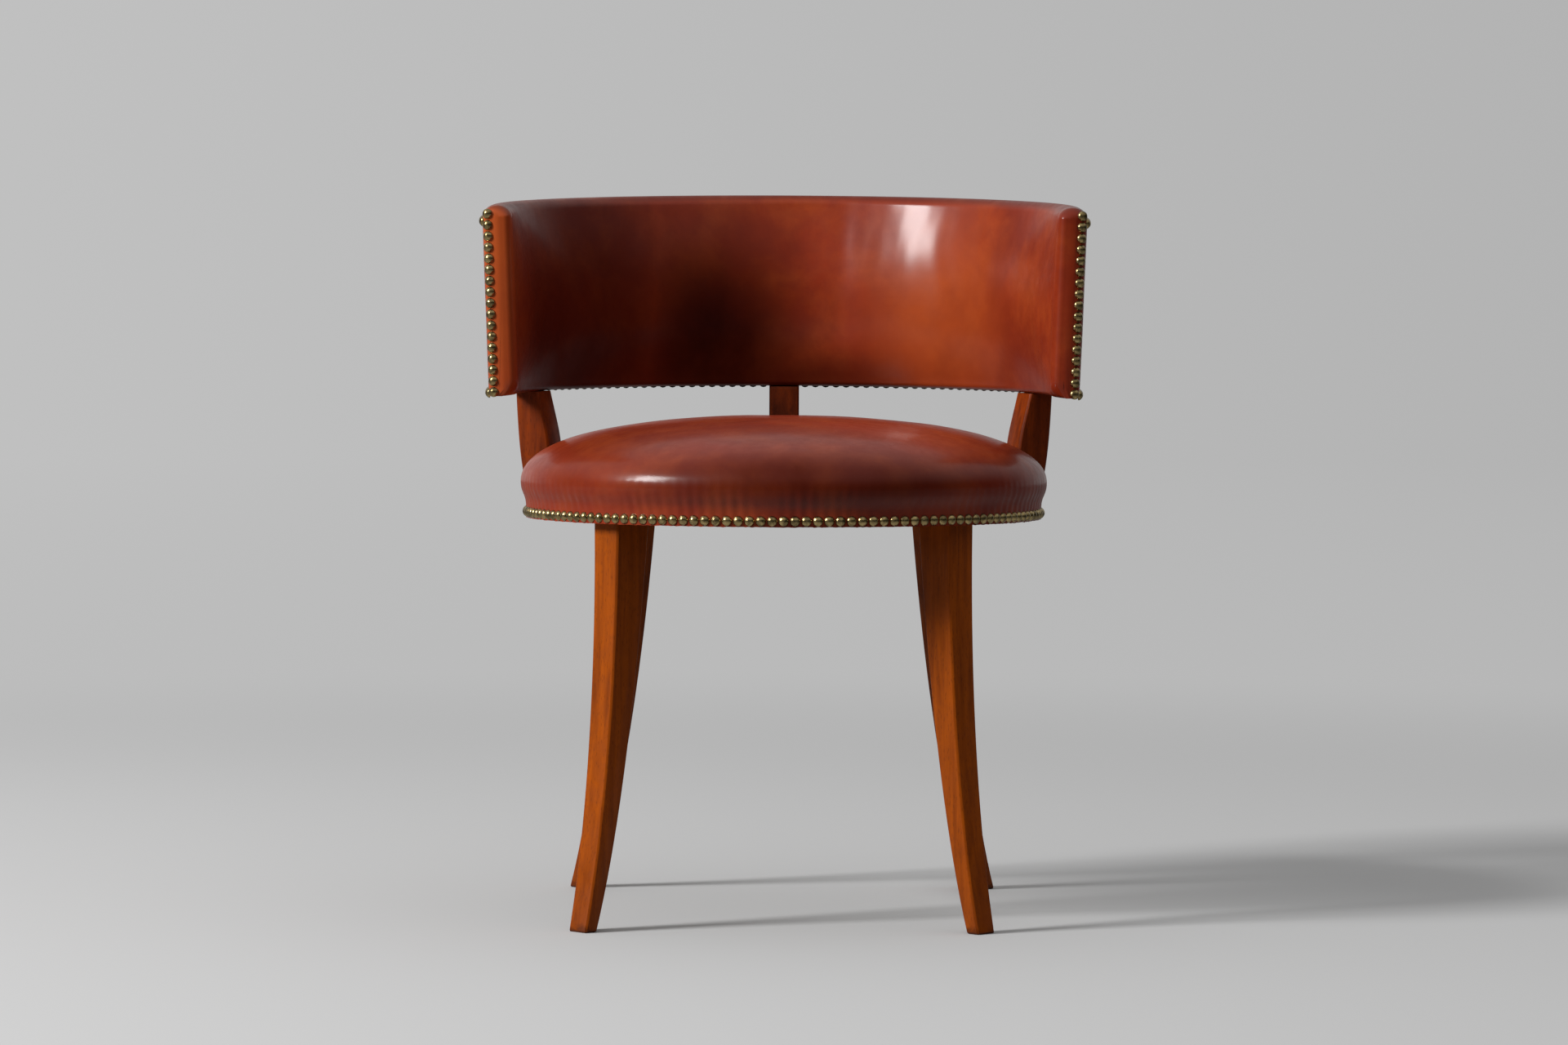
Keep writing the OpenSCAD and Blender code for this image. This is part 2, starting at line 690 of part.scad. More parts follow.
module bentRail() {
    color(bare_wood) place() difference() {
        band(frame_low, frame_high) children();
        for (az = support_angles) intersection() {
            shell(frame_out - bite, lap_depth + glue_gap, az - lap_angle, az + lap_angle);
            supportBox(az, glue_gap);
        }
        frameScrews(glue_gap);
        frameDowels(glue_gap);
    }
}
module back_rail_top() {
    bentRail() upperRailZone(0) shell(frame_out, frame_in, post_stop, 180 - post_stop);
}
module back_rail_bottom() {
    bentRail() lowerRailZone(0) shell(frame_out, frame_in, post_stop, 180 - post_stop);
}
module endPost(from, to) {
    color(bare_wood) place() difference() {
        band(frame_low, frame_high) shell(frame_out, frame_in, from, to);
        frameDowels(glue_gap);
    }
}
module back_post_right() { endPost(post_start, post_stop); }
module back_post_left() { endPost(180 - post_stop, 180 - post_start); }
module back_frame_dowels() { color(bare_wood) place() frameDowels(0); }
module back_frame_screws() { color(steel) place() frameScrews(0); }

// Back upholstery
module back_hessian() {
    color(jute) place() band(frame_low, frame_high)
        shell(hessian_in - hessian_t, hessian_in, post_start, 180 - post_start);
}
module back_lining() {
    color(jute) place() band(frame_low, frame_high)
        shell(lining_out, lining_out + hessian_t, post_start, 180 - post_start);
}

// Stuffing between the inner skin and a depth under the outer face, up to the rails' top
function padSection(az, out) = let (
        u = toEnd(az) - skin_in,
        round_in = corner(u, end_inner_round - skin_in),
        round_out = corner(u, end_outer_round - skin_in),
        low = lowZ(az) + skin_in,
        high = topZ(az) - frame_high - corner(u, end_corner_r - skin_in),
        swell_z = (low + high) / 2,
        lip = end_inner_round / 2,
        inner = back_t - skin_in - round_in
    ) [
        [outerR(low) - out - round_out, low],
        [outerR(high) - out - round_out, high],
        [outerR(high) - inner, high],
        [outerR(swell_z) - inner - swellAt(u), swell_z],
        [outerR(low + lip) - inner, low + lip],
        [outerR(low) - inner + lip, low]
    ];
module back_pad() {
    color(hair) place() loft([for (az = stationsFrom(post_start)) ringAt(az, padSection(az, pad_out))]);
}
module back_end_pads() {
    steps = [for (a = [0:corner_step:90]) arcAngle(skin_in + (end_outer_round - skin_in) * (1 - cos(a)))];
    color(hair) place() {
        loft([for (s = steps) ringAt(back_start + s, padSection(back_start + s, skin_in))]);
        loft([for (s = reversed(steps)) ringAt(back_stop - s, padSection(back_stop - s, skin_in))]);
    }
}

// Stuffed roll over the top rail
function rollSection(az) = let (
        skin = backSection(az, skin_in),
        base = padSection(az, skin_in),
        z = base[1][1] + soft_gap
    ) concat([[base[1][0], z]], [for (i = [0:180 / roll_step]) skin[i]], [[base[2][0], z]]);
module back_top_roll() {
    color(hair) place() loft([for (az = stations(skin_in)) ringAt(az, rollSection(az))]);
}

// Leather tray over the inner face, the top roll, the ends and the lower edge
module back_leather_inner() {
    color(leather) place() difference() {
        tray(skinRings(0), skinRings(leather_t), wrap_ring);
        for (az = support_angles) rotate([0, 0, az])
            translate([outerR(lowZ(az)) - frame_in - bite, -support_w / 2 - soft_gap, lowZ(az) - bite])
                cube([frame_t + bite + soft_gap, support_w + 2 * soft_gap, leather_t + 2 * bite]);
    }
}

// Leather panel over the outer face, inside the tray's rim
module back_leather_outer() {
    start = back_start + arcAngle(end_corner_r + soft_gap);
    color(leather) place() loft([
        for (az = stationsFrom(start)) let (
            low = lowZ(az) + leather_t + soft_gap,
            high = topZ(az) - back_t / 2 - soft_gap
        ) ringAt(az, [
            [outerR(low), low], [outerR(high), high],
            [outerR(high) - leather_t, high], [outerR(low) - leather_t, low]
        ])
    ]);
}

// Nails in rows along the lower and top edges of the outer face, and down the rounded ends
row_start = end_outer_round + 1.5;
row_length = (back_stop - back_start) / 180 * PI * back_r - 2 * row_start;
row_count = floor(row_length / back_nail_pitch);
function rowAngle(i) = back_start + arcAngle(row_start + row_length * i / row_count);
end_nail_u = end_outer_round * (1 - cos(end_nail_turn));
end_nail_in = end_outer_round * (1 - sin(end_nail_turn));
end_low_z = lowZ(back_start) + back_nail_inset + 1;
end_high_z = topZ(back_start) - end_corner_r;
end_count = floor((end_high_z - end_low_z) / back_nail_pitch);
module back_nails() {
    color(brass) place() {
        for (i = [0:row_count]) {
            az = rowAngle(i);
            for (z = [lowZ(az) + back_nail_inset, topZ(az) - back_t / 2 - back_nail_inset])
                outwards(az, outerR(z), z, back_flare) nail();
        }
        for (side = [0, 1]) mirror([side, 0, 0]) for (i = [0:end_count]) {
            z = end_low_z + (end_high_z - end_low_z) * i / end_count;
            rotate([0, 0, back_start + arcAngle(end_nail_u)]) translate([outerR(z) - end_nail_in, 0, z])
                rotate([0, 0, end_nail_turn - 90]) rotate([0, 90, 0]) nail();
        }
    }
}

leg_front_left();
leg_front_right();
leg_back_left();
leg_back_right();
seat_rail_front();
seat_rail_front_left();
seat_rail_front_right();
seat_rail_back();
seat_rail_back_left();
seat_rail_back_right();
seat_rail_dowels();
seat_webbing_across();
seat_webbing_lengthwise();
seat_hessian();
seat_stuffing();
seat_edge_roll();
seat_leather();
seat_nails();
support_left();
support_back();
support_right();
support_screws();
back_rail_top();
back_rail_bottom();
back_post_left();
back_post_right();
back_frame_dowels();
back_frame_screws();
back_hessian();
back_lining();
back_pad();
back_end_pads();
back_top_roll();
back_leather_inner();
back_leather_outer();
back_nails();
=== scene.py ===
import json
import math

import bmesh
import bpy
from mathutils import Matrix, Vector, noise


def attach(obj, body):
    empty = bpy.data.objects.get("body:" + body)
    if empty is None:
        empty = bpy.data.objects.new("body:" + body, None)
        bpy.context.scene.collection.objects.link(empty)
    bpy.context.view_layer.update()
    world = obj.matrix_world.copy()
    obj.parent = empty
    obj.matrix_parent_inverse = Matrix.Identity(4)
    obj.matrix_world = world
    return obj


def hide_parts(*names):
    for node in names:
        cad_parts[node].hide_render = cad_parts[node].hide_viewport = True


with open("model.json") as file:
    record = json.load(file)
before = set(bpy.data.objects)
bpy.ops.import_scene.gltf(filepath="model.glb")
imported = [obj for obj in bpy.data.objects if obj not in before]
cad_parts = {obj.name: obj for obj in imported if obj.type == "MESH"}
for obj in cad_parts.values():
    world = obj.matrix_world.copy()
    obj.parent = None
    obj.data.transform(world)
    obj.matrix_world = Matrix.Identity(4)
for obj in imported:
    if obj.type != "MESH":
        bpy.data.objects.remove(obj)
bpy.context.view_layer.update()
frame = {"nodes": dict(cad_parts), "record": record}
scene = bpy.context.scene
print("frame loaded:", len(frame["nodes"]), "nodes")


# camera, set up from the photo
cameraSettings = {
    "distance": 5.0,      # in front of the seat's axis, metres
    "height": 0.572,
    "sideways": 0.0004,
    "pitchDown": 2.265,   # degrees
    "roll": 0.25,
    "lens": 119.44,
    "sensor": 36,
    "clip": 60,
    "seatAxisY": -0.0203,
}


def makeCamera(s):
    data = bpy.data.cameras.new("camera")
    data.lens = s["lens"]
    data.sensor_width = s["sensor"]
    data.clip_end = s["clip"]
    camera = bpy.data.objects.new("camera", data)
    scene.collection.objects.link(camera)
    pitch = Matrix.Rotation(math.radians(90 - s["pitchDown"]), 4, "X")
    roll = Matrix.Rotation(math.radians(s["roll"]), 4, "Z")
    place = Matrix.Translation((s["sideways"], s["seatAxisY"] - s["distance"], s["height"]))
    camera.matrix_world = place @ (pitch @ roll)
    scene.camera = camera


makeCamera(cameraSettings)


# small helpers for meshes and node trees
def finishMesh(bm, name, smooth=True):
    mesh = bpy.data.meshes.new(name)
    for face in bm.faces:
        face.smooth = smooth
    bm.to_mesh(mesh)
    bm.free()
    piece = bpy.data.objects.new(name, mesh)
    scene.collection.objects.link(piece)
    return piece


def newMaterial(name):
    material = bpy.data.materials.new(name)
    material.use_nodes = True
    tree = material.node_tree
    return material, tree, tree.nodes["Principled BSDF"]


def addNode(tree, kind, inputs=None, **settings):
    node = tree.nodes.new(kind)
    for key, value in settings.items():
        setattr(node, key, value)
    for key, value in (inputs or {}).items():
        if isinstance(value, bpy.types.NodeSocket):
            tree.links.new(value, node.inputs[key])
        else:
            node.inputs[key].default_value = value
    return node


def calculate(tree, operation, first, second=0.0):
    return addNode(tree, "ShaderNodeMath", {0: first, 1: second}, operation=operation).outputs[0]


def scaled(tree, value, share, base=0.0):
    product = calculate(tree, "MULTIPLY", value, share)
    return calculate(tree, "ADD", base, product) if base else product


def mapRange(tree, value, low, high, first=0.0, last=1.0, kind="LINEAR"):
    return addNode(tree, "ShaderNodeMapRange", {
        "Value": value, "From Min": low, "From Max": high, "To Min": first, "To Max": last},
        interpolation_type=kind).outputs["Result"]


def ramp(tree, value, low, high, first=0.0, last=1.0):
    return mapRange(tree, value, low, high, first, last, "SMOOTHSTEP")


def mixColour(tree, factor, first, second):
    return addNode(tree, "ShaderNodeMix", {0: factor, 6: first, 7: second}, data_type="RGBA").outputs[2]


def split(tree, vector):
    return addNode(tree, "ShaderNodeSeparateXYZ", {"Vector": vector}).outputs


def length(tree, vector):
    return addNode(tree, "ShaderNodeVectorMath", {0: vector}, operation="LENGTH").outputs["Value"]


# room: a pale floor that fades into the backdrop, whose colour the world carries on
roomSettings = {
    "radius": 16.0,
    "sides": 96,
    "roughness": 0.9,
    "specular": 0.2,
    "fadeFrom": 1.3,      # metres from the chair
    "fadeTo": 3.4,
    "floorColour": (0.53, 0.53, 0.53, 1),
    "bounceColour": (0.22, 0.22, 0.22, 1),      # what the paper throws back on the chair
    # the backdrop glows, and is brighter on the left, towards the lamp: painted light
    "backdropLeft": 0.545,
    "backdropRight": 0.435,
    "backdropTurn": 0.3,  # sideways share of the direction over which it goes from one to the other
    # metres from the chair: gloss sees the bounce colour beyond the first, and the floor's within the second
    "glossReach": (1.5, 0.5),
}


def seenBy(tree, glossShare):
    # the camera's rays and those through clear things, then the same with a share of the glossy ones
    path = addNode(tree, "ShaderNodeLightPath").outputs
    direct = calculate(tree, "MAXIMUM", path["Is Camera Ray"], path["Is Transmission Ray"])
    glossy = calculate(tree, "MULTIPLY", path["Is Glossy Ray"], glossShare)
    return path, direct, calculate(tree, "MAXIMUM", direct, glossy)


def makeRoom(s):
    bm = bmesh.new()
    bmesh.ops.create_circle(bm, cap_ends=True, segments=s["sides"], radius=s["radius"])
    if bm.faces[:][0].normal.z < 0:
        bmesh.ops.reverse_faces(bm, faces=bm.faces[:])
    room = finishMesh(bm, "room", smooth=False)
    material, tree, shader = newMaterial("roomPaper")
    place = addNode(tree, "ShaderNodeTexCoord").outputs["Object"]
    away = length(tree, place)
    path, direct, seen = seenBy(tree, mapRange(tree, away, *s["glossReach"]))
    tree.links.new(mixColour(tree, seen, s["bounceColour"], s["floorColour"]), shader.inputs["Base Color"])
    shader.inputs["Roughness"].default_value = s["roughness"]
    shader.inputs["Specular IOR Level"].default_value = s["specular"]
    reach = s["backdropTurn"] * (s["radius"] + cameraSettings["distance"])
    # painted light: the glowing backdrop grows brighter towards the lamp on the left
    tone = ramp(tree, split(tree, place)["X"], -reach, reach, s["backdropLeft"], s["backdropRight"])
    backdrop = addNode(tree, "ShaderNodeEmission", {"Strength": tone})
    fade = calculate(tree, "MULTIPLY", ramp(tree, away, s["fadeFrom"], s["fadeTo"]), direct)
    floor = addNode(tree, "ShaderNodeMixShader", {0: fade, 1: shader.outputs["BSDF"], 2: backdrop.outputs[0]})
    # seen from below, the floor lets the camera through
    backfacing = addNode(tree, "ShaderNodeNewGeometry").outputs["Backfacing"]
    below = calculate(tree, "MULTIPLY", backfacing, path["Is Camera Ray"])
    clear = addNode(tree, "ShaderNodeBsdfTransparent")
    whole = addNode(tree, "ShaderNodeMixShader", {0: below, 1: floor.outputs[0], 2: clear.outputs[0]})
    tree.links.new(whole.outputs[0], tree.nodes["Material Output"].inputs["Surface"])
    room.data.materials.append(material)


makeRoom(roomSettings)


# lights: one tall soft box from the left, and a dim sky that is brighter above and to the left
lightSettings = {
    "azimuth": 25.5,      # degrees in front of the left side
    "elevation": 30.5,
    "distance": 7.0,
    "aim": (0.0, 0.0, 0.45),
    "width": 1.6,
    "height": 2.3,
    "power": 515,
    "skyBase": 0.02,
    "skyAbove": 0.62,
    "skyLeft": 0.05,
    "aboveSpan": (0.15, 0.85),    # upward share of the direction over which the sky brightens
    "behindSpan": (0.35, 0.8),    # backward share from which gloss sees the backdrop
}


def makeLights(s):
    lamp = bpy.data.lights.new("key", "AREA")
    lamp.shape = "RECTANGLE"
    lamp.size = s["width"]
    lamp.size_y = s["height"]
    lamp.energy = s["power"]
    azimuth, elevation = math.radians(s["azimuth"]), math.radians(s["elevation"])
    towards = Vector((-math.cos(azimuth) * math.cos(elevation), -math.sin(azimuth) * math.cos(elevation),
                      math.sin(elevation)))
    key = bpy.data.objects.new("key", lamp)
    key.location = Vector(s["aim"]) + towards * s["distance"]
    key.rotation_euler = (-towards).to_track_quat("-Z", "Y").to_euler()
    scene.collection.objects.link(key)
    world = bpy.data.worlds.new("sky")
    world.use_nodes = True
    tree = world.node_tree
    direction = split(tree, addNode(tree, "ShaderNodeTexCoord").outputs["Generated"])
    above = ramp(tree, direction["Z"], *s["aboveSpan"], 0.0, s["skyAbove"])
    left = ramp(tree, direction["X"], 0.0, -1.0, 0.0, s["skyLeft"])
    light = calculate(tree, "ADD", calculate(tree, "ADD", above, left), s["skyBase"])
    room = roomSettings
    turn = room["backdropTurn"]
    # painted light: the backdrop seen directly is brighter towards the lamp on the left
    backdrop = ramp(tree, direction["X"], -turn, turn, room["backdropLeft"], room["backdropRight"])
    seen = seenBy(tree, mapRange(tree, direction["Y"], *s["behindSpan"]))[2]
    shown = addNode(tree, "ShaderNodeMix", {0: seen, 2: light, 3: backdrop}, data_type="FLOAT")
    tree.links.new(shown.outputs[0], tree.nodes["Background"].inputs["Strength"])
    tree.nodes["Background"].inputs["Color"].default_value = (1, 1, 1, 1)
    scene.world = world


makeLights(lightSettings)
scene.view_settings.view_transform = "Standard"


# shader node groups that several finishes share
def newGroup(name, inputs, outputs):
    group = bpy.data.node_groups.new(name, "ShaderNodeTree")
    for socket, kind, value in inputs:
        made = group.interface.new_socket(socket, in_out="INPUT", socket_type=kind)
        if value is not None:
            made.default_value = value
    for socket, kind in outputs:
        group.interface.new_socket(socket, in_out="OUTPUT", socket_type=kind)
    return group, group.nodes.new("NodeGroupInput"), group.nodes.new("NodeGroupOutput")


patinaSettings = {
    "layers": {"Broad": (4.0, 0.6), "Fine": (5.0, 0.65)},       # detail and roughness of each noise
    "limits": (0.34, 0.66),
}


def makePatinaGroup(s):
    # broad and fine mottling, as old polish leaves it
    group, source, target = newGroup("patina", [
        ("Vector", "NodeSocketVector", None), ("Broad Scale", "NodeSocketFloat", 9.0),
        ("Fine Scale", "NodeSocketFloat", 60.0), ("Distortion", "NodeSocketFloat", 1.0)],
        [("Broad", "NodeSocketFloat"), ("Fine", "NodeSocketFloat")])
    for name, (detail, roughness) in s["layers"].items():
        mottle = addNode(group, "ShaderNodeTexNoise", {
            "Vector": source.outputs["Vector"], "Scale": source.outputs[name + " Scale"], "Detail": detail,
            "Roughness": roughness, "Distortion": source.outputs["Distortion"]})
        group.links.new(ramp(group, mottle.outputs["Fac"], *s["limits"]), target.inputs[name])
    return group


weaveSettings = {
    "lift": 0.35,     # how far a thread rises over the one that it crosses
    "gapLimits": (0.75, 0.35),
}


def makeWeaveGroup(s):
    # plain weave seen from above: warp and weft pass over each other in turn
    group, source, target = newGroup("plainWeave", [
        ("Vector", "NodeSocketVector", None), ("Pitch", "NodeSocketFloat", 0.003)],
        [("Height", "NodeSocketFloat"), ("Gap", "NodeSocketFloat")])
    angle = calculate(group, "DIVIDE", math.pi, source.outputs["Pitch"])
    parts = split(group, source.outputs["Vector"])
    across, along = [
        calculate(group, "SINE", calculate(group, "MULTIPLY", parts[axis], angle)) for axis in ("X", "Y")]
    over = calculate(group, "MULTIPLY", across, along)
    threads = calculate(group, "MAXIMUM", *[calculate(group, "ABSOLUTE", wave) for wave in (across, along)])
    group.links.new(calculate(group, "ADD", scaled(group, over, s["lift"]), threads), target.inputs["Height"])
    group.links.new(ramp(group, threads, *s["gapLimits"]), target.inputs["Gap"])
    return group


patinaGroup = makePatinaGroup(patinaSettings)
weaveGroup = makeWeaveGroup(weaveSettings)


def addPatina(tree, vector, broad, fine, distortion=1.0):
    return addNode(tree, "ShaderNodeGroup", {
        "Vector": vector, "Broad Scale": broad, "Fine Scale": fine, "Distortion": distortion},
        node_tree=patinaGroup).outputs


def roughen(tree, shader, mask, limits):
    tree.links.new(mapRange(tree, mask, 0.0, 1.0, *limits), shader.inputs["Roughness"])


print("shader groups made")


# leather: cognac hide, darkened and polished by use, with painted shade in some dark places and painted light
# in some lighter ones
leatherSettings = {
    "name": "leather",
    "deep": (0.150, 0.0135, 0.0045, 1),
    "middle": (0.270, 0.0285, 0.0075, 1),
    "bright": (0.450, 0.080, 0.0150, 1),
    # dark colour of wear, used also as painted shade
    "burnishAndPaintedShade": (0.036, 0.0040, 0.0016, 1),
    "roughness": (0.36, 0.48),
    "specular": 0.07,
    "coat": 0.42,
    "coatWornAndShaded": 0.04,     # gloss left in the worn places and in those with painted shade
    "coatRoughness": 0.20,
    "glossFade": (0.3, 0.8),      # share of the worn and painted-shade mask between which the gloss goes
    "mottle": (7.0, 70.0, 0.2),   # broad scale, fine scale, distortion
    "middleShare": (0.75, 0.25),
    "patchScale": 16.0,
    "patchLimits": (0.38, 0.74),
    "patchShare": 0.40,
    "fineShare": 0.18,
    "unevenShare": (0.4, 0.75),
    "placeEdge": (1.15, 0.2),     # a place fades between these shares of its size
    "rimFacing": (0.35, 0.9),     # painted shade on the back's upward-facing top, which the sky above lights: upward normal, height, strength
    "rimHeight": (0.60, 0.64),
    "rimShare": 0.5,
    "wrinkleScale": 55.0,
    "wrinkleDepth": 0.0003,
    "poreScale": 1100.0,
    "poreDepth": 0.00003,
    # dark places, partly worn by use and partly painted shade: centre in metres, size along each axis,
    # strength
    "wornAndPaintedShadePlaces": [
        # painted shade on the seat's lower front band, which faces down and away from the lamp
        ((0.02, -0.255, 0.424), (0.24, 0.10, 0.036), 0.80),
        ((0.00, -0.200, 0.462), (0.14, 0.07, 0.030), 0.30),
        # painted shade on the back's inner face left of the middle, turned away from the lamp
        ((-0.085, 0.25, 0.555), (0.140, 0.10, 0.15), 0.92),
        # painted shade low on the back's inner face
        ((0.03, 0.25, 0.505), (0.20, 0.09, 0.045), 0.55),
        # painted shade on the back's left inner face, turned away from the lamp
        ((-0.21, 0.12, 0.565), (0.14, 0.20, 0.16), 0.78),
        ((-0.17, -0.16, 0.440), (0.15, 0.12, 0.05), 0.30),
    ],
    # lighter places: painted light on the back's right inner face and on the left end's face, both turned to
    # the lamp
    "freshAndPaintedLightPlaces": [
        ((0.19, 0.20, 0.570), (0.13, 0.13, 0.13), 0.55),
        ((-0.285, -0.06, 0.590), (0.040, 0.05, 0.18), 0.95),
    ],
}

# outer panel: handled along its middle, less worn than the rest
panelLeather = {
    "name": "panelLeather",
    "wornAndPaintedShadePlaces": [
        ((0.0, 0.27, 0.60), (0.34, 0.20, 0.05), 0.22),
        ((0.24, -0.02, 0.58), (0.12, 0.12, 0.09), 0.30),
        ((-0.25, 0.10, 0.56), (0.12, 0.12, 0.08), 0.25),
    ],
    "freshAndPaintedLightPlaces": [((0.0, 0.26, 0.52), (0.36, 0.20, 0.05), 0.20)],
}


def makeLeather(s):
    material, tree, shader = newMaterial(s["name"])
    coordinates = addNode(tree, "ShaderNodeTexCoord").outputs
    place = coordinates["Object"]
    patina = addPatina(tree, place, *s["mottle"])
    colour = mixColour(tree, scaled(tree, patina["Broad"], *s["middleShare"]), s["deep"], s["middle"])
    patches = addNode(tree, "ShaderNodeTexNoise", {
        "Vector": place, "Scale": s["patchScale"], "Detail": 5.0, "Roughness": 0.6, "Distortion": 0.3})
    patch = scaled(tree, ramp(tree, patches.outputs["Fac"], *s["patchLimits"]), s["patchShare"])
    colour = mixColour(tree, patch, colour, s["bright"])
    colour = mixColour(tree, scaled(tree, patina["Fine"], s["fineShare"]), colour, s["deep"])
    uneven = scaled(tree, patina["Broad"], *s["unevenShare"])
    # painted shade: where the back's top faces up to the sky, it is darkened
    facing = ramp(tree, split(tree, coordinates["Normal"])["Z"], *s["rimFacing"])
    high = ramp(tree, split(tree, place)["Z"], *s["rimHeight"])
    rim = scaled(tree, calculate(tree, "MULTIPLY", facing, high), s["rimShare"])
    # lighter places carry painted light, and darker ones carry wear and painted shade
    shades = (s["freshAndPaintedLightPlaces"], s["bright"], None), (s["wornAndPaintedShadePlaces"], s["burnishAndPaintedShade"], rim)
    for places, shade, spread in shades:
        for centre, size, strength in places:
            mapping = addNode(tree, "ShaderNodeMapping", {
                "Vector": place, "Location": tuple(-c / k for c, k in zip(centre, size)),
                "Scale": tuple(1 / k for k in size)})
            away = length(tree, mapping.outputs["Vector"])
            mask = scaled(tree, ramp(tree, away, *s["placeEdge"]), strength)
            spread = mask if spread is None else calculate(tree, "MAXIMUM", spread, mask)
        spread = calculate(tree, "MULTIPLY", spread, uneven)
        colour = mixColour(tree, spread, colour, shade)
    tree.links.new(colour, shader.inputs["Base Color"])
    gloss = mapRange(tree, spread, *s["glossFade"], s["coat"], s["coatWornAndShaded"])
    tree.links.new(gloss, shader.inputs["Coat Weight"])
    roughen(tree, shader, patina["Fine"], s["roughness"])
    shader.inputs["Specular IOR Level"].default_value = s["specular"]
    shader.inputs["Coat Roughness"].default_value = s["coatRoughness"]
    wrinkle = addNode(tree, "ShaderNodeTexNoise", {
        "Vector": place, "Scale": s["wrinkleScale"], "Detail": 5.0, "Distortion": 1.2})
    pores = addNode(tree, "ShaderNodeTexVoronoi", {
        "Vector": place, "Scale": s["poreScale"]}, feature="SMOOTH_F1")
    wrinkled = addNode(tree, "ShaderNodeBump", {
        "Height": wrinkle.outputs["Fac"], "Strength": 0.3, "Distance": s["wrinkleDepth"]})
    grained = addNode(tree, "ShaderNodeBump", {
        "Height": pores.outputs["Distance"], "Strength": 0.5, "Distance": s["poreDepth"],
        "Normal": wrinkled.outputs["Normal"]})
    tree.links.new(grained.outputs["Normal"], shader.inputs["Normal"])
    return material


# wood: beech, stained for the legs and supports, bare inside; the supports' darker copy of the stain is
# painted shade
woodSettings = {
    "stain": {
        "dark": (0.190, 0.034, 0.0018, 1), "light": (0.390, 0.076, 0.0026, 1),
        "fleck": (0.090, 0.017, 0.0015, 1), "roughness": (0.34, 0.48), "coat": 0.04},
    # a darker copy of the stain: painted shade for the supports, which stand in shade under the back
    "stainWithPaintedShade": {
        "dark": (0.100, 0.0130, 0.0009, 1), "light": (0.245, 0.036, 0.0018, 1),
        "fleck": (0.05, 0.008, 0.001, 1), "roughness": (0.34, 0.46), "coat": 0.04},
    "bare": {
        "dark": (0.30, 0.17, 0.075, 1), "light": (0.55, 0.36, 0.19, 1),
        "fleck": (0.20, 0.10, 0.04, 1), "roughness": (0.55, 0.70), "coat": 0.0},
}
grainSettings = {
    "scale": 140.0,
    "stretch": 0.06,      # share of the scale that is left along the grain
    "limits": (0.3, 0.7),
    "mottle": (9.0, 45.0),
    "broadShare": 0.45,
    "fineShare": 0.25,
    "fleckScale": 520.0,
    "fleckStretch": 0.22,
    "fleckLimits": (0.30, 0.12),
    "fleckShare": 0.45,
    "fleckDepth": 0.5,
    "depth": 0.0003,
    "specular": 0.1,
    "coatRoughness": 0.25,
    "footHeight": 0.11,   # darker towards the floor, up to this height
    "footShare": 0.45,
    "scuffAndShadeWaver": -0.006,
    "scuffAndShadeLimits": (0.004, -0.002),
    "scuffAndShadeShare": 0.8,
}


def makeWood(name, s, turn=0.0, upright=True):
    g = grainSettings
    material, tree, shader = newMaterial(name)
    place = addNode(tree, "ShaderNodeTexCoord").outputs["Object"]
    turned = addNode(tree, "ShaderNodeMapping", {"Vector": place, "Rotation": (0, 0, turn)}).outputs["Vector"]
    along, short = [addNode(tree, "ShaderNodeMapping", {
        "Vector": turned, "Scale": (1, 1, share) if upright else (share, 1, 1)}).outputs["Vector"]
        for share in (g["stretch"], g["fleckStretch"])]
    grain = addNode(tree, "ShaderNodeTexNoise", {
        "Vector": along, "Scale": g["scale"], "Detail": 5.0, "Roughness": 0.6,
        "Distortion": 0.4}).outputs["Fac"]
    patina = addPatina(tree, turned, *g["mottle"])
    colour = mixColour(tree, ramp(tree, grain, *g["limits"]), s["dark"], s["light"])
    colour = mixColour(tree, scaled(tree, patina["Broad"], g["broadShare"]), colour, s["light"])
    colour = mixColour(tree, scaled(tree, patina["Fine"], g["fineShare"]), colour, s["dark"])
    flecks = addNode(tree, "ShaderNodeTexVoronoi", {
        "Vector": short, "Scale": g["fleckScale"], "Randomness": 1.0})
    fleck = ramp(tree, flecks.outputs["Distance"], *g["fleckLimits"])
    colour = mixColour(tree, scaled(tree, fleck, g["fleckShare"]), colour, s["fleck"])
    shader.inputs["Specular IOR Level"].default_value = g["specular"]
    if s["coat"]:
        height = split(tree, place)["Z"]
        foot = scaled(tree, ramp(tree, height, g["footHeight"], 0.0), g["footShare"])
        colour = mixColour(tree, foot, colour, s["dark"])
        # the lowest millimetres of the feet: scuffed, and darkened as painted contact shadow where they meet
        # the floor
        wavering = calculate(tree, "ADD", height, scaled(tree, patina["Fine"], g["scuffAndShadeWaver"]))
        scuffAndShade = scaled(tree, ramp(tree, wavering, *g["scuffAndShadeLimits"]), g["scuffAndShadeShare"])
        colour = mixColour(tree, scuffAndShade, colour, s["fleck"])
        shader.inputs["Coat Weight"].default_value = s["coat"]
        shader.inputs["Coat Roughness"].default_value = g["coatRoughness"]
    tree.links.new(colour, shader.inputs["Base Color"])
    roughen(tree, shader, patina["Fine"], s["roughness"])
    relief = calculate(tree, "SUBTRACT", grain, scaled(tree, fleck, g["fleckDepth"]))
    bump = addNode(tree, "ShaderNodeBump", {"Height": relief, "Strength": 0.35, "Distance": g["depth"]})
    tree.links.new(bump.outputs["Normal"], shader.inputs["Normal"])
    return material


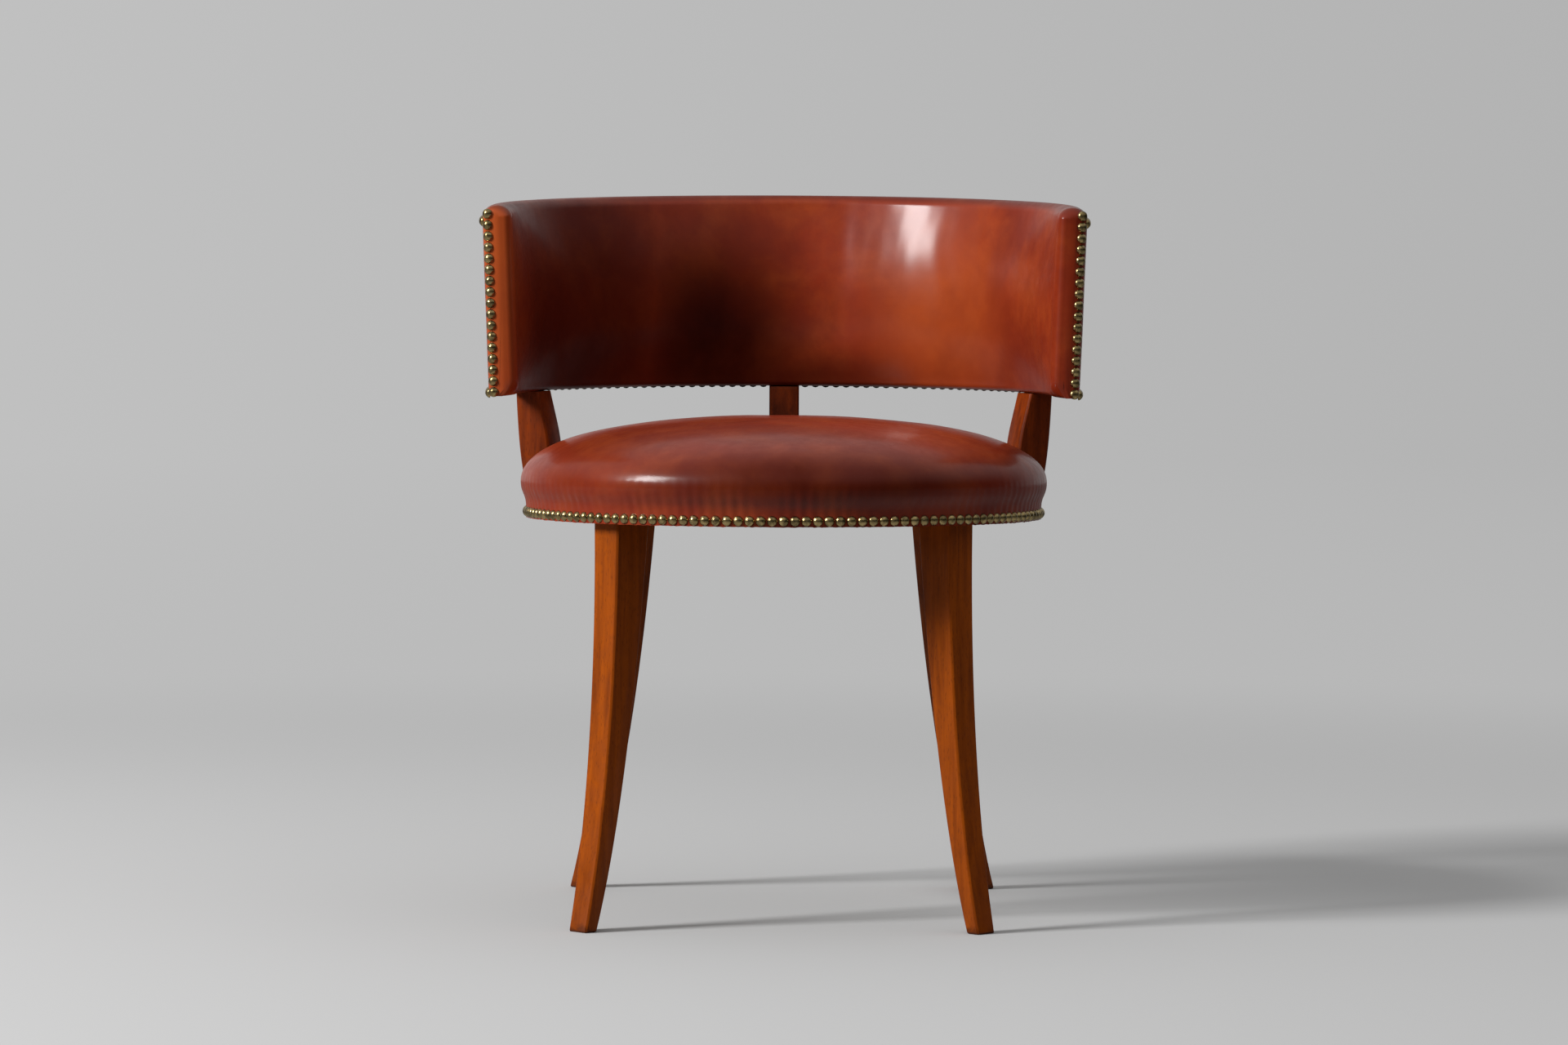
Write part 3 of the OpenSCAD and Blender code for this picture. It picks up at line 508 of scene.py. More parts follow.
# metal: antique brass for the nails, steel for the screws
metalSettings = {
    "brass": {
        "bright": (0.42, 0.315, 0.140, 1), "dull": (0.060, 0.043, 0.019, 1),
        "roughness": (0.20, 0.34), "scale": 130.0},
    "steel": {
        "bright": (0.46, 0.46, 0.47, 1), "dull": (0.20, 0.19, 0.18, 1),
        "roughness": (0.30, 0.50), "scale": 220.0},
    "dullShare": 0.75,
    "fineness": 6,
    "depth": 0.00004,
}


def makeMetal(name, s):
    material, tree, shader = newMaterial(name)
    place = addNode(tree, "ShaderNodeTexCoord").outputs["Object"]
    patina = addPatina(tree, place, s["scale"], s["scale"] * metalSettings["fineness"])
    dull = scaled(tree, patina["Broad"], metalSettings["dullShare"])
    tree.links.new(mixColour(tree, dull, s["bright"], s["dull"]), shader.inputs["Base Color"])
    roughen(tree, shader, patina["Fine"], s["roughness"])
    shader.inputs["Metallic"].default_value = 1.0
    bump = addNode(tree, "ShaderNodeBump", {
        "Height": patina["Fine"], "Strength": 0.2, "Distance": metalSettings["depth"]})
    tree.links.new(bump.outputs["Normal"], shader.inputs["Normal"])
    return material


# cloth under the seat: jute webbing and hessian
clothSettings = {
    "webbing": {"pitch": 0.0026, "thread": (0.42, 0.31, 0.17, 1), "gap": (0.16, 0.11, 0.06, 1)},
    "hessian": {"pitch": 0.0019, "thread": (0.34, 0.24, 0.13, 1), "gap": (0.07, 0.045, 0.025, 1)},
    "soilScale": 90.0,
    "soilLimits": (0.35, 0.7),
    "soilShare": 0.4,
    "roughness": 0.85,
    "depth": 0.0006,
}


def makeCloth(name, s):
    cloth = clothSettings
    material, tree, shader = newMaterial(name)
    place = addNode(tree, "ShaderNodeTexCoord").outputs["Object"]
    weave = addNode(tree, "ShaderNodeGroup", {
        "Vector": place, "Pitch": s["pitch"]}, node_tree=weaveGroup).outputs
    soil = addNode(tree, "ShaderNodeTexNoise", {"Vector": place, "Scale": cloth["soilScale"], "Detail": 4.0})
    soiled = scaled(tree, ramp(tree, soil.outputs["Fac"], *cloth["soilLimits"]), cloth["soilShare"])
    colour = mixColour(tree, soiled, mixColour(tree, weave["Gap"], s["thread"], s["gap"]), s["gap"])
    tree.links.new(colour, shader.inputs["Base Color"])
    shader.inputs["Roughness"].default_value = cloth["roughness"]
    bump = addNode(tree, "ShaderNodeBump", {
        "Height": weave["Height"], "Strength": 0.7, "Distance": cloth["depth"]})
    tree.links.new(bump.outputs["Normal"], shader.inputs["Normal"])
    return material


finishes = {
    "leather": makeLeather(leatherSettings),
    "panelLeather": makeLeather({**leatherSettings, **panelLeather}),
    "wood": makeWood("wood", woodSettings["stain"]),
    "woodWithPaintedShade": makeWood("woodWithPaintedShade", woodSettings["stainWithPaintedShade"]),
    "bare_wood": makeWood("bareWood", woodSettings["bare"], upright=False),
    "brass": makeMetal("brass", metalSettings["brass"]),
    "steel": makeMetal("steel", metalSettings["steel"]),
    "jute": makeCloth("juteWebbing", clothSettings["webbing"]),
    "hessian": makeCloth("hessian", clothSettings["hessian"]),
}
print("finishes made:", len(finishes))


# curves and forms shared by the upholstery
def cubic(points, t):
    a, b, c, d = points
    return tuple((1 - t) ** 3 * p + 3 * t * (1 - t) ** 2 * q + 3 * t * t * (1 - t) * r + t ** 3 * w
                 for p, q, r, w in zip(a, b, c, d))


def spunSection(points, steps, full, closed):
    # points are (radius, height); every vertex keeps its place along the section in a layer
    bm = bmesh.new()
    place = bm.verts.layers.float.new("place")
    verts = []
    for index, (radius, height) in enumerate(points):
        vert = bm.verts.new((radius, 0, height))
        vert[place] = index
        verts.append(vert)
    pairs = list(zip(verts, verts[1:])) + ([(verts[-1], verts[0])] if closed else [])
    edges = [bm.edges.new(pair) for pair in pairs]
    bmesh.ops.spin(bm, geom=verts + edges, cent=(0, 0, 0), axis=(0, 0, 1), dvec=(0, 0, 0),
                   angle=2 * math.pi if full else math.pi, steps=steps, use_merge=full, use_duplicate=False)
    return bm, place


def merge(bm):
    bmesh.ops.remove_doubles(bm, verts=bm.verts[:], dist=1e-6)


def ringNumber(place, steps):
    # which copy of a section a vertex belongs to, after a half turn in that many steps
    angle = math.atan2(place.y, place.x)
    return round((angle if angle > -1 else angle + 2 * math.pi) / math.pi * steps)


def sharpen(bm, degrees=50):
    limit = math.radians(degrees)
    for edge in bm.edges:
        if len(edge.link_faces) == 2 and edge.calc_face_angle(0) > limit:
            edge.smooth = False


seatAxis = Vector((0, -0.020265, 0))
supportAngles = [math.radians(a) for a in (24, 90, 156)]


# seat: stuffed dome, its leather nailed to the ring
seatSettings = {
    "radius": 0.2527,
    "crownZ": 0.4774,
    "widestZ": 0.414,
    "crownReach": 0.157,
    "sideReach": 0.040,
    "nailRadius": 0.2475,
    "nailZ": 0.385,
    "skirtTopZ": 0.3896,
    "edgeZ": 0.3795,
    "ringRadius": 0.2454,
    "ringTopZ": 0.428,
    "ringEase": 0.0055,
    "padBaseZ": 0.4331,
    "padRadius": 0.12,
    "hessianRadius": 0.238,
    "clearance": 0.0003,
    "hessianGap": 0.001,
    "ringGap": 0.0005,
    "nails": 148,
    "ringsPerNail": 6,
    "domeSteps": 34,
    "skirtSteps": 14,
    "lowerSteps": 6,
    "nailDent": 0.0006,
    "dentSpan": 0.006,
    "pleat": 0.0008,
    "pleatZ": 0.400,
    "pleatSpan": 0.022,
    "pleatLeast": 0.6,    # share that every pleat has, and what noise adds to it or takes off
    "pleatVaries": 0.8,
    "lumps": 0.0006,
    "lumpScale": 11,
    "fineLumpScale": 27,
    "fineLumpShare": 0.5,
    "lumpsFrom": 0.40,
    "lumpsRun": 0.03,
    "fray": 0.0007,
    "frayScale": 260,
    "slotHalf": 0.0153,   # slots in the leather where the supports stand
    "slotEase": 0.0018,
    "slotRadius": 0.2450,
    "slotStep": 0.0002,
    "pull": 0.0016,       # the leather is drawn in beside them
    "pullRun": 0.014,
    "pullHeights": (0.39, 0.45),
    "pullWaves": 900,
}


def seatProfile(s):
    wide, wideZ, narrow, narrowZ = s["radius"], s["widestZ"], s["nailRadius"], s["skirtTopZ"]
    tuck = (wideZ - narrowZ) / 2
    dome = [(0, s["crownZ"]), (s["crownReach"], s["crownZ"]), (wide, wideZ + s["sideReach"]), (wide, wideZ)]
    skirt = [(wide, wideZ), (wide, wideZ - tuck), (narrow, narrowZ + tuck), (narrow, narrowZ)]
    outside = [cubic(dome, i / s["domeSteps"]) for i in range(s["domeSteps"] + 1)]
    outside += [cubic(skirt, i / s["skirtSteps"]) for i in range(1, s["skirtSteps"] + 1)]
    for i in range(1, s["lowerSteps"] + 1):
        outside.append((narrow, narrowZ + (s["edgeZ"] - narrowZ) * i / s["lowerSteps"]))
    rim = s["ringRadius"] + s["clearance"]
    pad = s["hessianRadius"] + s["hessianGap"]
    inside = [(rim, s["edgeZ"]), (rim, s["ringTopZ"] - s["ringEase"]), (pad, s["ringTopZ"] + s["ringGap"]),
              (pad, s["padBaseZ"]), (s["padRadius"], s["padBaseZ"]), (0, s["padBaseZ"])]
    return outside, inside


def makeSeatCover(s):
    outside, inside = seatProfile(s)
    bm, place = spunSection(outside + inside, s["nails"] * s["ringsPerNail"], full=True, closed=False)
    merge(bm)
    last = len(outside) - 1
    pullFrom, pullTo = s["pullHeights"]
    for vert in bm.verts:
        index = vert[place]
        radius = math.hypot(vert.co.x, vert.co.y)
        azimuth = math.atan2(vert.co.y, vert.co.x)
        height = vert.co.z
        outer = index <= last
        if outer:
            phase = azimuth / (2 * math.pi) * s["nails"]
            wave = 0.5 + 0.5 * math.cos(2 * math.pi * phase)           # 1 at each nail
            near = math.exp(-((height - s["nailZ"]) / s["dentSpan"]) ** 2)
            above = max(0.0, 1 - abs(height - s["pleatZ"]) / s["pleatSpan"])
            chance = noise.noise(Vector((math.cos(azimuth) * 9, math.sin(azimuth) * 9, 1.7)))
            uneven = s["pleatLeast"] + s["pleatVaries"] * chance
            if index > s["domeSteps"] / 2:
                radius -= s["nailDent"] * near * wave + s["pleat"] * above * wave * max(0.0, uneven)
            spot = vert.co.copy()
            fine = noise.noise(spot * s["fineLumpScale"] + Vector((3, 1, 2)))
            lump = noise.noise(spot * s["lumpScale"]) + s["fineLumpShare"] * fine
            height += s["lumps"] * lump * min(1.0, max(0.0, (height - s["lumpsFrom"]) / s["lumpsRun"]))
            if index >= last - 1:
                height += s["fray"] * noise.noise(Vector((vert.co.x, vert.co.y, 0)) * s["frayScale"])
        for middle in supportAngles:
            if math.cos(azimuth - middle) <= 0:
                continue
            across = abs(radius * math.sin(azimuth - middle))
            if across < s["slotHalf"] + s["slotEase"]:
                radius = min(radius, s["slotRadius"] if outer else s["slotRadius"] - s["slotStep"])
            elif outer and across < s["slotHalf"] + s["pullRun"] and pullFrom < height < pullTo:
                pull = 1 - (across - s["slotHalf"]) / s["pullRun"]
                radius -= s["pull"] * pull * pull * (0.6 + 0.4 * math.cos(height * s["pullWaves"]))
        vert.co = Vector((radius * math.cos(azimuth), radius * math.sin(azimuth), height)) + seatAxis
    bmesh.ops.recalc_face_normals(bm, faces=bm.faces[:])
    sharpen(bm)
    piece = finishMesh(bm, "seatCover")
    piece.data.materials.append(finishes["leather"])
    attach(piece, "root")
    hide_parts("seat_leather", "seat_stuffing", "seat_edge_roll")
    print("seat cover made:", len(piece.data.polygons), "faces")


makeSeatCover(seatSettings)


# back: padded band over a bent frame, with rounded ends and a rolled top
backSettings = {
    "radius": 0.2834,
    "flare": math.radians(2.2),
    "thickness": 0.025,
    "topZ": 0.679,
    "lowZ": 0.496,
    "topTilt": math.radians(3.2),
    "lowTilt": math.radians(1.3),
    "endAngle": math.radians(8),
    "cornerRadius": 0.008,
    "outerRound": 0.008,
    "innerRound": 0.0120,
    "frameRound": 0.008,
    "padding": 0.0035,    # fuller than the frame and its pad alone, on the inner face
    "lip": 0.006,
    "lipShare": 0.55,     # most of the depth that the lip may take
    "endLip": 0.012,      # rounder lower edge at the ends
    "endLipRun": 0.050,
    "endPuff": 0.0045,    # the padding pushes the ends forward, away from their nails
    "endPuffRun": 0.024,
    "puffDepth": (0.006, 0.017),      # behind the outer face, where it begins and over what depth it grows
    "puffTaper": (0.012, 0.010),      # fades over these heights at the lower and the upper edge
    "swell": 0.0130,
    "swellShift": -0.08,  # below zero, the fullness sits low
    "swellRun": 0.075,
    "leather": 0.0018,
    "frameDepth": 0.0159,
    "clearance": 0.0002,
    "endInset": 0.0014,
    "endDepth": 0.0004,
    "rollSteps": 22,
    "faceSteps": 30,
    "lipSteps": 5,
    "edgeSteps": 6,
    "hollowSteps": 12,
    "hollowBends": (0.34, 0.67),      # shares of those steps at which it turns up and back
    "endSteps": 12,
    "stationGap": 0.0001,         # between the last station of an end and the first of the middle
    "stations": 380,
    "ripple": 0.0007,
    "rippleScale": (5, 9),        # round the seat's axis, and upwards
    "fineRipple": (0.4, 3.1),     # share, and how many times finer
    "reliefFrom": 0.6,    # share of the roll's steps after which ripples and creases begin
    "creaseDrift": 0.004,
    "driftScale": 14,
    # creases down the inner face: angle round the seat axis in degrees, depth, width in metres
    "creases": [
        (77, 0.0009, 0.013),
        (86, 0.0040, 0.055),
        (120.5, 0.0005, 0.009),
        (52, 0.0003, 0.009),
        (141, 0.0003, 0.009),
    ],
}
backStart = -backSettings["endAngle"]
backStop = math.pi + backSettings["endAngle"]


def outerRadius(z):
    return backSettings["radius"] + (z - backSettings["lowZ"]) * math.tan(backSettings["flare"])


def topHeight(azimuth):
    s = backSettings
    return s["topZ"] + math.tan(s["topTilt"]) * s["radius"] * math.sin(azimuth)


def lowHeight(azimuth):
    s = backSettings
    return s["lowZ"] + math.tan(s["lowTilt"]) * s["radius"] * math.sin(azimuth)


def corner(fromEnd, radius):
    # how far a round corner draws the band in, at a distance from its end
    if fromEnd >= radius:
        return 0.0
    return radius - math.sqrt(max(0.0, radius ** 2 - (radius - fromEnd) ** 2))


def backSection(s, azimuth, fromEnd, wrapped):
    top = topHeight(azimuth) - corner(fromEnd, s["cornerRadius"])
    low = lowHeight(azimuth)
    roundIn = corner(fromEnd, s["innerRound"])
    roundOut = corner(fromEnd, s["outerRound"])
    frameDepth = s["thickness"] - min(roundIn, s["frameRound"]) - roundOut
    depth = s["thickness"] + s["padding"] - roundIn - roundOut
    roll = depth / 2
    rise = min(roll, frameDepth / 2)
    middle = top - rise
    lip = s["lip"] + s["endLip"] * max(0.0, 1 - fromEnd / s["endLipRun"]) ** 2
    lipIn = min(lip, depth * s["lipShare"])
    swell = s["swell"] * math.sin(math.pi / 2 * min(1.0, fromEnd / s["swellRun"])) ** 2
    # the face starts at the roll's last slope
    lean = math.atan((1 + s["swellShift"]) * math.pi * swell / (middle - low - lip))
    points = []
    for i in range(s["rollSteps"] + 1):
        a = (math.pi - lean) * i / s["rollSteps"]
        radius = outerRadius(middle) - roundOut - roll + roll * math.cos(a)
        points.append((radius, middle + rise * math.sin(a)))
    startZ = middle + rise * math.sin(lean)
    for i in range(1, s["faceSteps"] + 1):
        t = i / s["faceSteps"]
        z = startZ + (low + lip - startZ) * t
        bulge = swell * math.sin(math.pi * t) * (1 + s["swellShift"] * math.cos(math.pi * t))
        radius = outerRadius(z) - roundOut - depth + roll * (1 - math.cos(lean)) * (1 - t) - bulge
        points.append((radius, z))
    edge = outerRadius(low) - roundOut
    for i in range(1, s["lipSteps"] + 1):
        a = math.pi / 2 * i / s["lipSteps"]
        points.append((edge - depth + lipIn * (1 - math.cos(a)), low + lip * (1 - math.sin(a))))
    inner = edge - depth + lipIn
    for i in range(1, s["edgeSteps"] + 1):
        points.append((inner + (edge - inner) * i / s["edgeSteps"], low))
    floor = low + s["leather"]
    ceiling = middle - s["clearance"]
    up, over = s["hollowBends"]
    for i in range(1, s["hollowSteps"]):
        t = i / s["hollowSteps"]
        if wrapped:           # at the ends the leather closes the outer side
            z = low + (middle - low) * t
            points.append((outerRadius(z) - roundOut, z))
        elif t < up:          # elsewhere its inside goes round the frame, a third of the steps to each side
            points.append((outerRadius(floor) - s["frameDepth"] * t * 3, floor))
        elif t < over:
            z = floor + (ceiling - floor) * (t - up) / (over - up)
            points.append((outerRadius(z) - s["frameDepth"], z))
        else:
            points.append((outerRadius(middle) - s["frameDepth"] * (1 - t) * 3, ceiling))
    return points


def backStations(s):
    ends = []
    for i in range(s["endSteps"]):
        fromEnd = s["innerRound"] * (1 - math.cos(math.pi / 2 * i / (s["endSteps"] - 1)))
        ends.append((backStart + fromEnd / s["radius"], fromEnd, fromEnd <= s["cornerRadius"]))
    inset = s["innerRound"] + s["stationGap"]
    first, last = backStart + inset / s["radius"], backStop - inset / s["radius"]
    middle = []
    for i in range(s["stations"]):
        azimuth = first + (last - first) * i / (s["stations"] - 1)
        middle.append((azimuth, min(azimuth - backStart, backStop - azimuth) * s["radius"], False))
    mirrored = [(math.pi - azimuth, fromEnd, wrapped) for azimuth, fromEnd, wrapped in reversed(ends)]
    return ends + middle + mirrored


def makeBackCover(s):
    stations = backStations(s)
    sections = [backSection(s, *station) for station in stations]
    steps = len(stations) - 1
    bm, place = spunSection(sections[steps // 2], steps, full=False, closed=True)
    faceFrom = s["rollSteps"]
    faceTo = faceFrom + s["faceSteps"]
    reliefFrom = faceFrom * s["reliefFrom"]
    roundScale, upScale = s["rippleScale"]
    share, finer = s["fineRipple"]
    for vert in bm.verts:
        ring = ringNumber(vert.co, steps)
        index = int(round(vert[place]))
        azimuth, fromEnd, _ = stations[ring]
        radius, height = sections[ring][index]
        inwards = min(1.0, max(0.0, (outerRadius(height) - radius - s["puffDepth"][0]) / s["puffDepth"][1]))
        puff = s["endPuff"] * inwards * max(0.0, 1 - fromEnd / s["endPuffRun"]) / s["radius"]
        puff *= min(1.0, (height - lowHeight(azimuth)) / s["puffTaper"][0],
                    (topHeight(azimuth) - height) / s["puffTaper"][1])
        azimuth += -puff if ring < steps / 2 else puff
        if index <= faceTo and s["endSteps"] <= ring <= steps - s["endSteps"]:
            reach = math.sin(math.pi * min(1, max(0, (index - reliefFrom) / (faceTo - reliefFrom))))
            spot = Vector((math.cos(azimuth) * roundScale, math.sin(azimuth) * roundScale, height * upScale))
            radius += s["ripple"] * reach * (noise.noise(spot) + share * noise.noise(spot * finer))
            for degrees, depth, width in s["creases"]:
                drift = s["creaseDrift"] * noise.noise(Vector((degrees, height * s["driftScale"], 0)))
                away = ((azimuth - math.radians(degrees)) * s["radius"] + drift) / width
                radius += depth * reach * math.exp(-away * away)
        vert.co = Vector((radius * math.cos(azimuth), radius * math.sin(azimuth), height)) + seatAxis
    bmesh.ops.holes_fill(bm, edges=[e for e in bm.edges if e.is_boundary], sides=0)
    bmesh.ops.recalc_face_normals(bm, faces=bm.faces[:])
    ends = [face for face in bm.faces if len(face.verts) > 4]       # every other face has four corners
    bmesh.ops.inset_region(bm, faces=ends, thickness=s["endInset"], depth=s["endDepth"],
                           use_even_offset=False)
    sharpen(bm)
    piece = finishMesh(bm, "backCover")
    piece.data.materials.append(finishes["leather"])
    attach(piece, "root")
    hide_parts("back_leather_inner", "back_pad", "back_end_pads", "back_top_roll", "back_hessian")
    print("back cover made:", len(piece.data.polygons), "faces")


makeBackCover(backSettings)


# outer panel of the back, nailed along both edges
panelSettings = {
    "pitch": 0.0105,
    "rowStart": 0.0095,
    "inset": 0.003,
    "perNail": 6,
    "gap": 0.0083,
    "clear": 0.0021,
    "clearTop": 0.0003,
    "dent": 0.0006,
    "dentSpan": 0.005,
    "bow": 0.0006,
    "bowScale": (4, 12),          # round the seat's axis, and upwards
    "upSteps": 26,
}


def nailRow():
    # length of a row along the back's edges and the number of spaces between its nails
    row = (backStop - backStart) * backSettings["radius"] - 2 * panelSettings["rowStart"]
    return row, math.floor(row / panelSettings["pitch"])


def nailHeights(azimuth):
    return (lowHeight(azimuth) + panelSettings["inset"],
            topHeight(azimuth) - backSettings["thickness"] / 2 - panelSettings["inset"])


def makeBackPanel(s):
    back = backSettings
    rowLength, count = nailRow()
    pitch = rowLength / count
    steps = count * s["perNail"]
    first, last = backStart + s["gap"] / back["radius"], backStop - s["gap"] / back["radius"]
    up = list(range(s["upSteps"] + 1))
    rise = [(back["radius"], i) for i in up] + [(back["radius"] - back["leather"], i) for i in reversed(up)]
    # the section gives the vertices their order, and each is placed below
    bm, place = spunSection(rise, steps, full=False, closed=True)
    for vert in bm.verts:
        ring = ringNumber(vert.co, steps)
        index = int(round(vert[place]))
        azimuth = first + (last - first) * ring / steps
        outside = index <= s["upSteps"]
        t = (index if outside else 2 * s["upSteps"] + 1 - index) / s["upSteps"]
        low = lowHeight(azimuth) + s["clear"]
        high = topHeight(azimuth) - back["thickness"] / 2 - s["clearTop"]
        z = low + (high - low) * t
        radius = outerRadius(z) - (0 if outside else back["leather"])
        along = ((azimuth - backStart) * back["radius"] - s["rowStart"]) / pitch
        wave = 0.5 + 0.5 * math.cos(2 * math.pi * along)
        if outside:
            for nailZ in nailHeights(azimuth):
                radius -= s["dent"] * wave * math.exp(-((z - nailZ) / s["dentSpan"]) ** 2)
            chance = noise.noise(Vector((azimuth * s["bowScale"][0], z * s["bowScale"][1], 2)))
            radius += s["bow"] * math.sin(math.pi * t) * chance
        vert.co = Vector((radius * math.cos(azimuth), radius * math.sin(azimuth), z)) + seatAxis
    bmesh.ops.holes_fill(bm, edges=[e for e in bm.edges if e.is_boundary], sides=0)
    bmesh.ops.recalc_face_normals(bm, faces=bm.faces[:])
    sharpen(bm)
    piece = finishMesh(bm, "backPanel")
    piece.data.materials.append(finishes["panelLeather"])
    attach(piece, "root")
    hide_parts("back_leather_outer", "back_lining")
    print("back panel made:", len(piece.data.polygons), "faces")


makeBackPanel(panelSettings)


# webbing and hessian that carry the stuffing
webbingSettings = {
    "width": 0.048,
    "thickness": 0.0016,
    "pitch": 0.074,
    "count": 4,
    "step": 0.0019,       # rise where a strap goes over another, and the run up to it
    "ramp": 0.008,
    "waver": 0.0004,
    "waverScale": 150,
    "edgeShare": 0.49,
    "alongSteps": 160,
    "acrossSteps": 12,
    "tackRadius": 0.237,
    "baseZ": 0.428,
    "hessianZ": 0.4318,
    "hessianRadius": 0.238,
    "hessianThickness": 0.001,
    "hessianSides": 180,
}


def makeWebbing(s, name, node, turn):
    whole = bmesh.new()
    places = [(i - (s["count"] - 1) / 2) * s["pitch"] for i in range(s["count"])]
    for number, middle in enumerate(places):
        reach = math.sqrt(s["tackRadius"] ** 2 - (abs(middle) + s["width"] / 2) ** 2)
        made = bmesh.ops.create_grid(whole, x_segments=s["alongSteps"], y_segments=s["acrossSteps"], size=1.0)
        for vert in made["verts"]:
            x = vert.co.x * reach
            y = vert.co.y * s["width"] / 2
            if abs(y) > s["width"] * s["edgeShare"]:
                y += math.copysign(s["waver"], y) * noise.noise(Vector((x * s["waverScale"], middle, 0)))
            rise = 0.0
            for other, cross in enumerate(places):
                if other % 2 == number % 2:
                    away = abs(x - cross) - s["width"] / 2
                    rise = max(rise, min(1.0, max(0.0, 1 - away / s["ramp"])))
            vert.co = Vector((x, y + middle, s["baseZ"] + s["step"] * rise * rise * (3 - 2 * rise)))
    bmesh.ops.recalc_face_normals(whole, faces=whole.faces[:])
    bmesh.ops.solidify(whole, geom=whole.faces[:], thickness=-s["thickness"])
    bmesh.ops.recalc_face_normals(whole, faces=whole.faces[:])
    place = Matrix.Translation(seatAxis) @ Matrix.Rotation(turn, 4, "Z")
    bmesh.ops.transform(whole, matrix=place, verts=whole.verts[:])
    low = min(v.co.z for v in whole.verts)
    bmesh.ops.translate(whole, vec=(0, 0, s["baseZ"] - low), verts=whole.verts[:])
    sharpen(whole)
    piece = finishMesh(whole, name)
    piece.data.materials.append(finishes["jute"])
    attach(piece, "root")
    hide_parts(node)


def makeHessian(s):
    bm = bmesh.new()
    bmesh.ops.create_cone(bm, cap_ends=True, segments=s["hessianSides"], radius1=s["hessianRadius"],
                          radius2=s["hessianRadius"], depth=s["hessianThickness"])
    middle = seatAxis + Vector((0, 0, s["hessianZ"] + s["hessianThickness"] / 2))
    bmesh.ops.translate(bm, vec=middle, verts=bm.verts[:])
    piece = finishMesh(bm, "seatHessian", smooth=False)
    piece.data.materials.append(finishes["hessian"])
    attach(piece, "root")
    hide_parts("seat_hessian")


makeWebbing(webbingSettings, "webbingAcross", "seat_webbing_across", 0)
makeWebbing(webbingSettings, "webbingLengthwise", "seat_webbing_lengthwise", math.pi / 2)
makeHessian(webbingSettings)
print("webbing and hessian made")


# legs and supports keep their CAD forms, with eased edges
easedSettings = {
    "edge": 0.0013,
    "edgeSteps": 2,
    "flatAngle": 0.3,     # degrees: faces nearer to one plane are joined
    "edgeAngle": 40,
    "smoothAngle": 18,
    "wood": {
        "leg_front_left": "wood", "leg_front_right": "wood",
        "leg_back_left": "wood", "leg_back_right": "wood",
        # the supports take the stain darkened as painted shade
        "support_left": "woodWithPaintedShade", "support_right": "woodWithPaintedShade", "support_back": "woodWithPaintedShade"},
}


def makeEased(s, node, finish):
    bm = bmesh.new()
    bm.from_mesh(frame["nodes"][node].data)
    merge(bm)
    flat = math.radians(s["flatAngle"])
    bmesh.ops.dissolve_limit(bm, angle_limit=flat, verts=bm.verts[:], edges=bm.edges[:])
    limit = math.radians(s["edgeAngle"])
    edges = [e for e in bm.edges if len(e.link_faces) == 2 and e.calc_face_angle(0) > limit]
    bmesh.ops.bevel(bm, geom=edges, offset=s["edge"], offset_type="OFFSET", segments=s["edgeSteps"],
                    profile=0.5, affect="EDGES", material=-1, clamp_overlap=True)
    sharpen(bm, s["smoothAngle"])
    words = node.split("_")
    piece = finishMesh(bm, words[0] + "".join(word.capitalize() for word in words[1:]))
    piece.data.materials.append(finishes[finish])
    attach(piece, "root")
    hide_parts(node)


for node, finish in easedSettings["wood"].items():
    makeEased(easedSettings, node, finish)
print("legs and supports eased")


# nails: smooth domes where the CAD has its nails
nailSettings = {
    "width": 0.0098,
    "dome": 0.0031,
    "sunk": 0.0012,       # skirt below the surface
    "lift": 0.0003,
    "steps": 4,
    "sides": 14,
    "supportWidth": 0.03,
    "headWidth": 0.0092,  # head in the CAD, which decides where a support leaves room
    "endTurn": math.radians(32),
    "endLift": 0.001,
}


def makeDome(s):
    half = s["width"] / 2
    ball = (half ** 2 + s["dome"] ** 2) / (2 * s["dome"])
    reach = math.asin(half / ball)
    points = [(half, -s["sunk"])]
    for i in range(s["steps"] + 1):
        angle = reach * (1 - i / s["steps"])
        points.append((ball * math.sin(angle), s["dome"] - ball + ball * math.cos(angle)))
    bm = spunSection(points, s["sides"], full=True, closed=False)[0]
    merge(bm)
    bmesh.ops.recalc_face_normals(bm, faces=bm.faces[:])
    if max(bm.faces, key=lambda face: face.calc_center_median().z).normal.z < 0:
        bmesh.ops.reverse_faces(bm, faces=bm.faces[:])
    dome = bpy.data.meshes.new("dome")
    bm.to_mesh(dome)
    bm.free()
    return dome


def standing(azimuth, radius, z, turn=0.0, lean=0.0):
    # turns a dome to face outwards from the seat's axis
    place = Matrix.Translation(seatAxis) @ Matrix.Rotation(azimuth, 4, "Z")
    place = place @ Matrix.Translation((radius, 0, z))
    return place @ Matrix.Rotation(turn, 4, "Z") @ Matrix.Rotation(math.pi / 2 + lean, 4, "Y")


def seatNailPlaces(s):
    seat = seatSettings
    clear = math.asin((s["supportWidth"] + s["headWidth"]) / 2 / seat["nailRadius"])
    for i in range(seat["nails"]):
        azimuth = 2 * math.pi * i / seat["nails"]
        if min(abs(azimuth - middle) for middle in supportAngles) > clear:
            yield standing(azimuth, seat["nailRadius"] + s["lift"], seat["nailZ"])


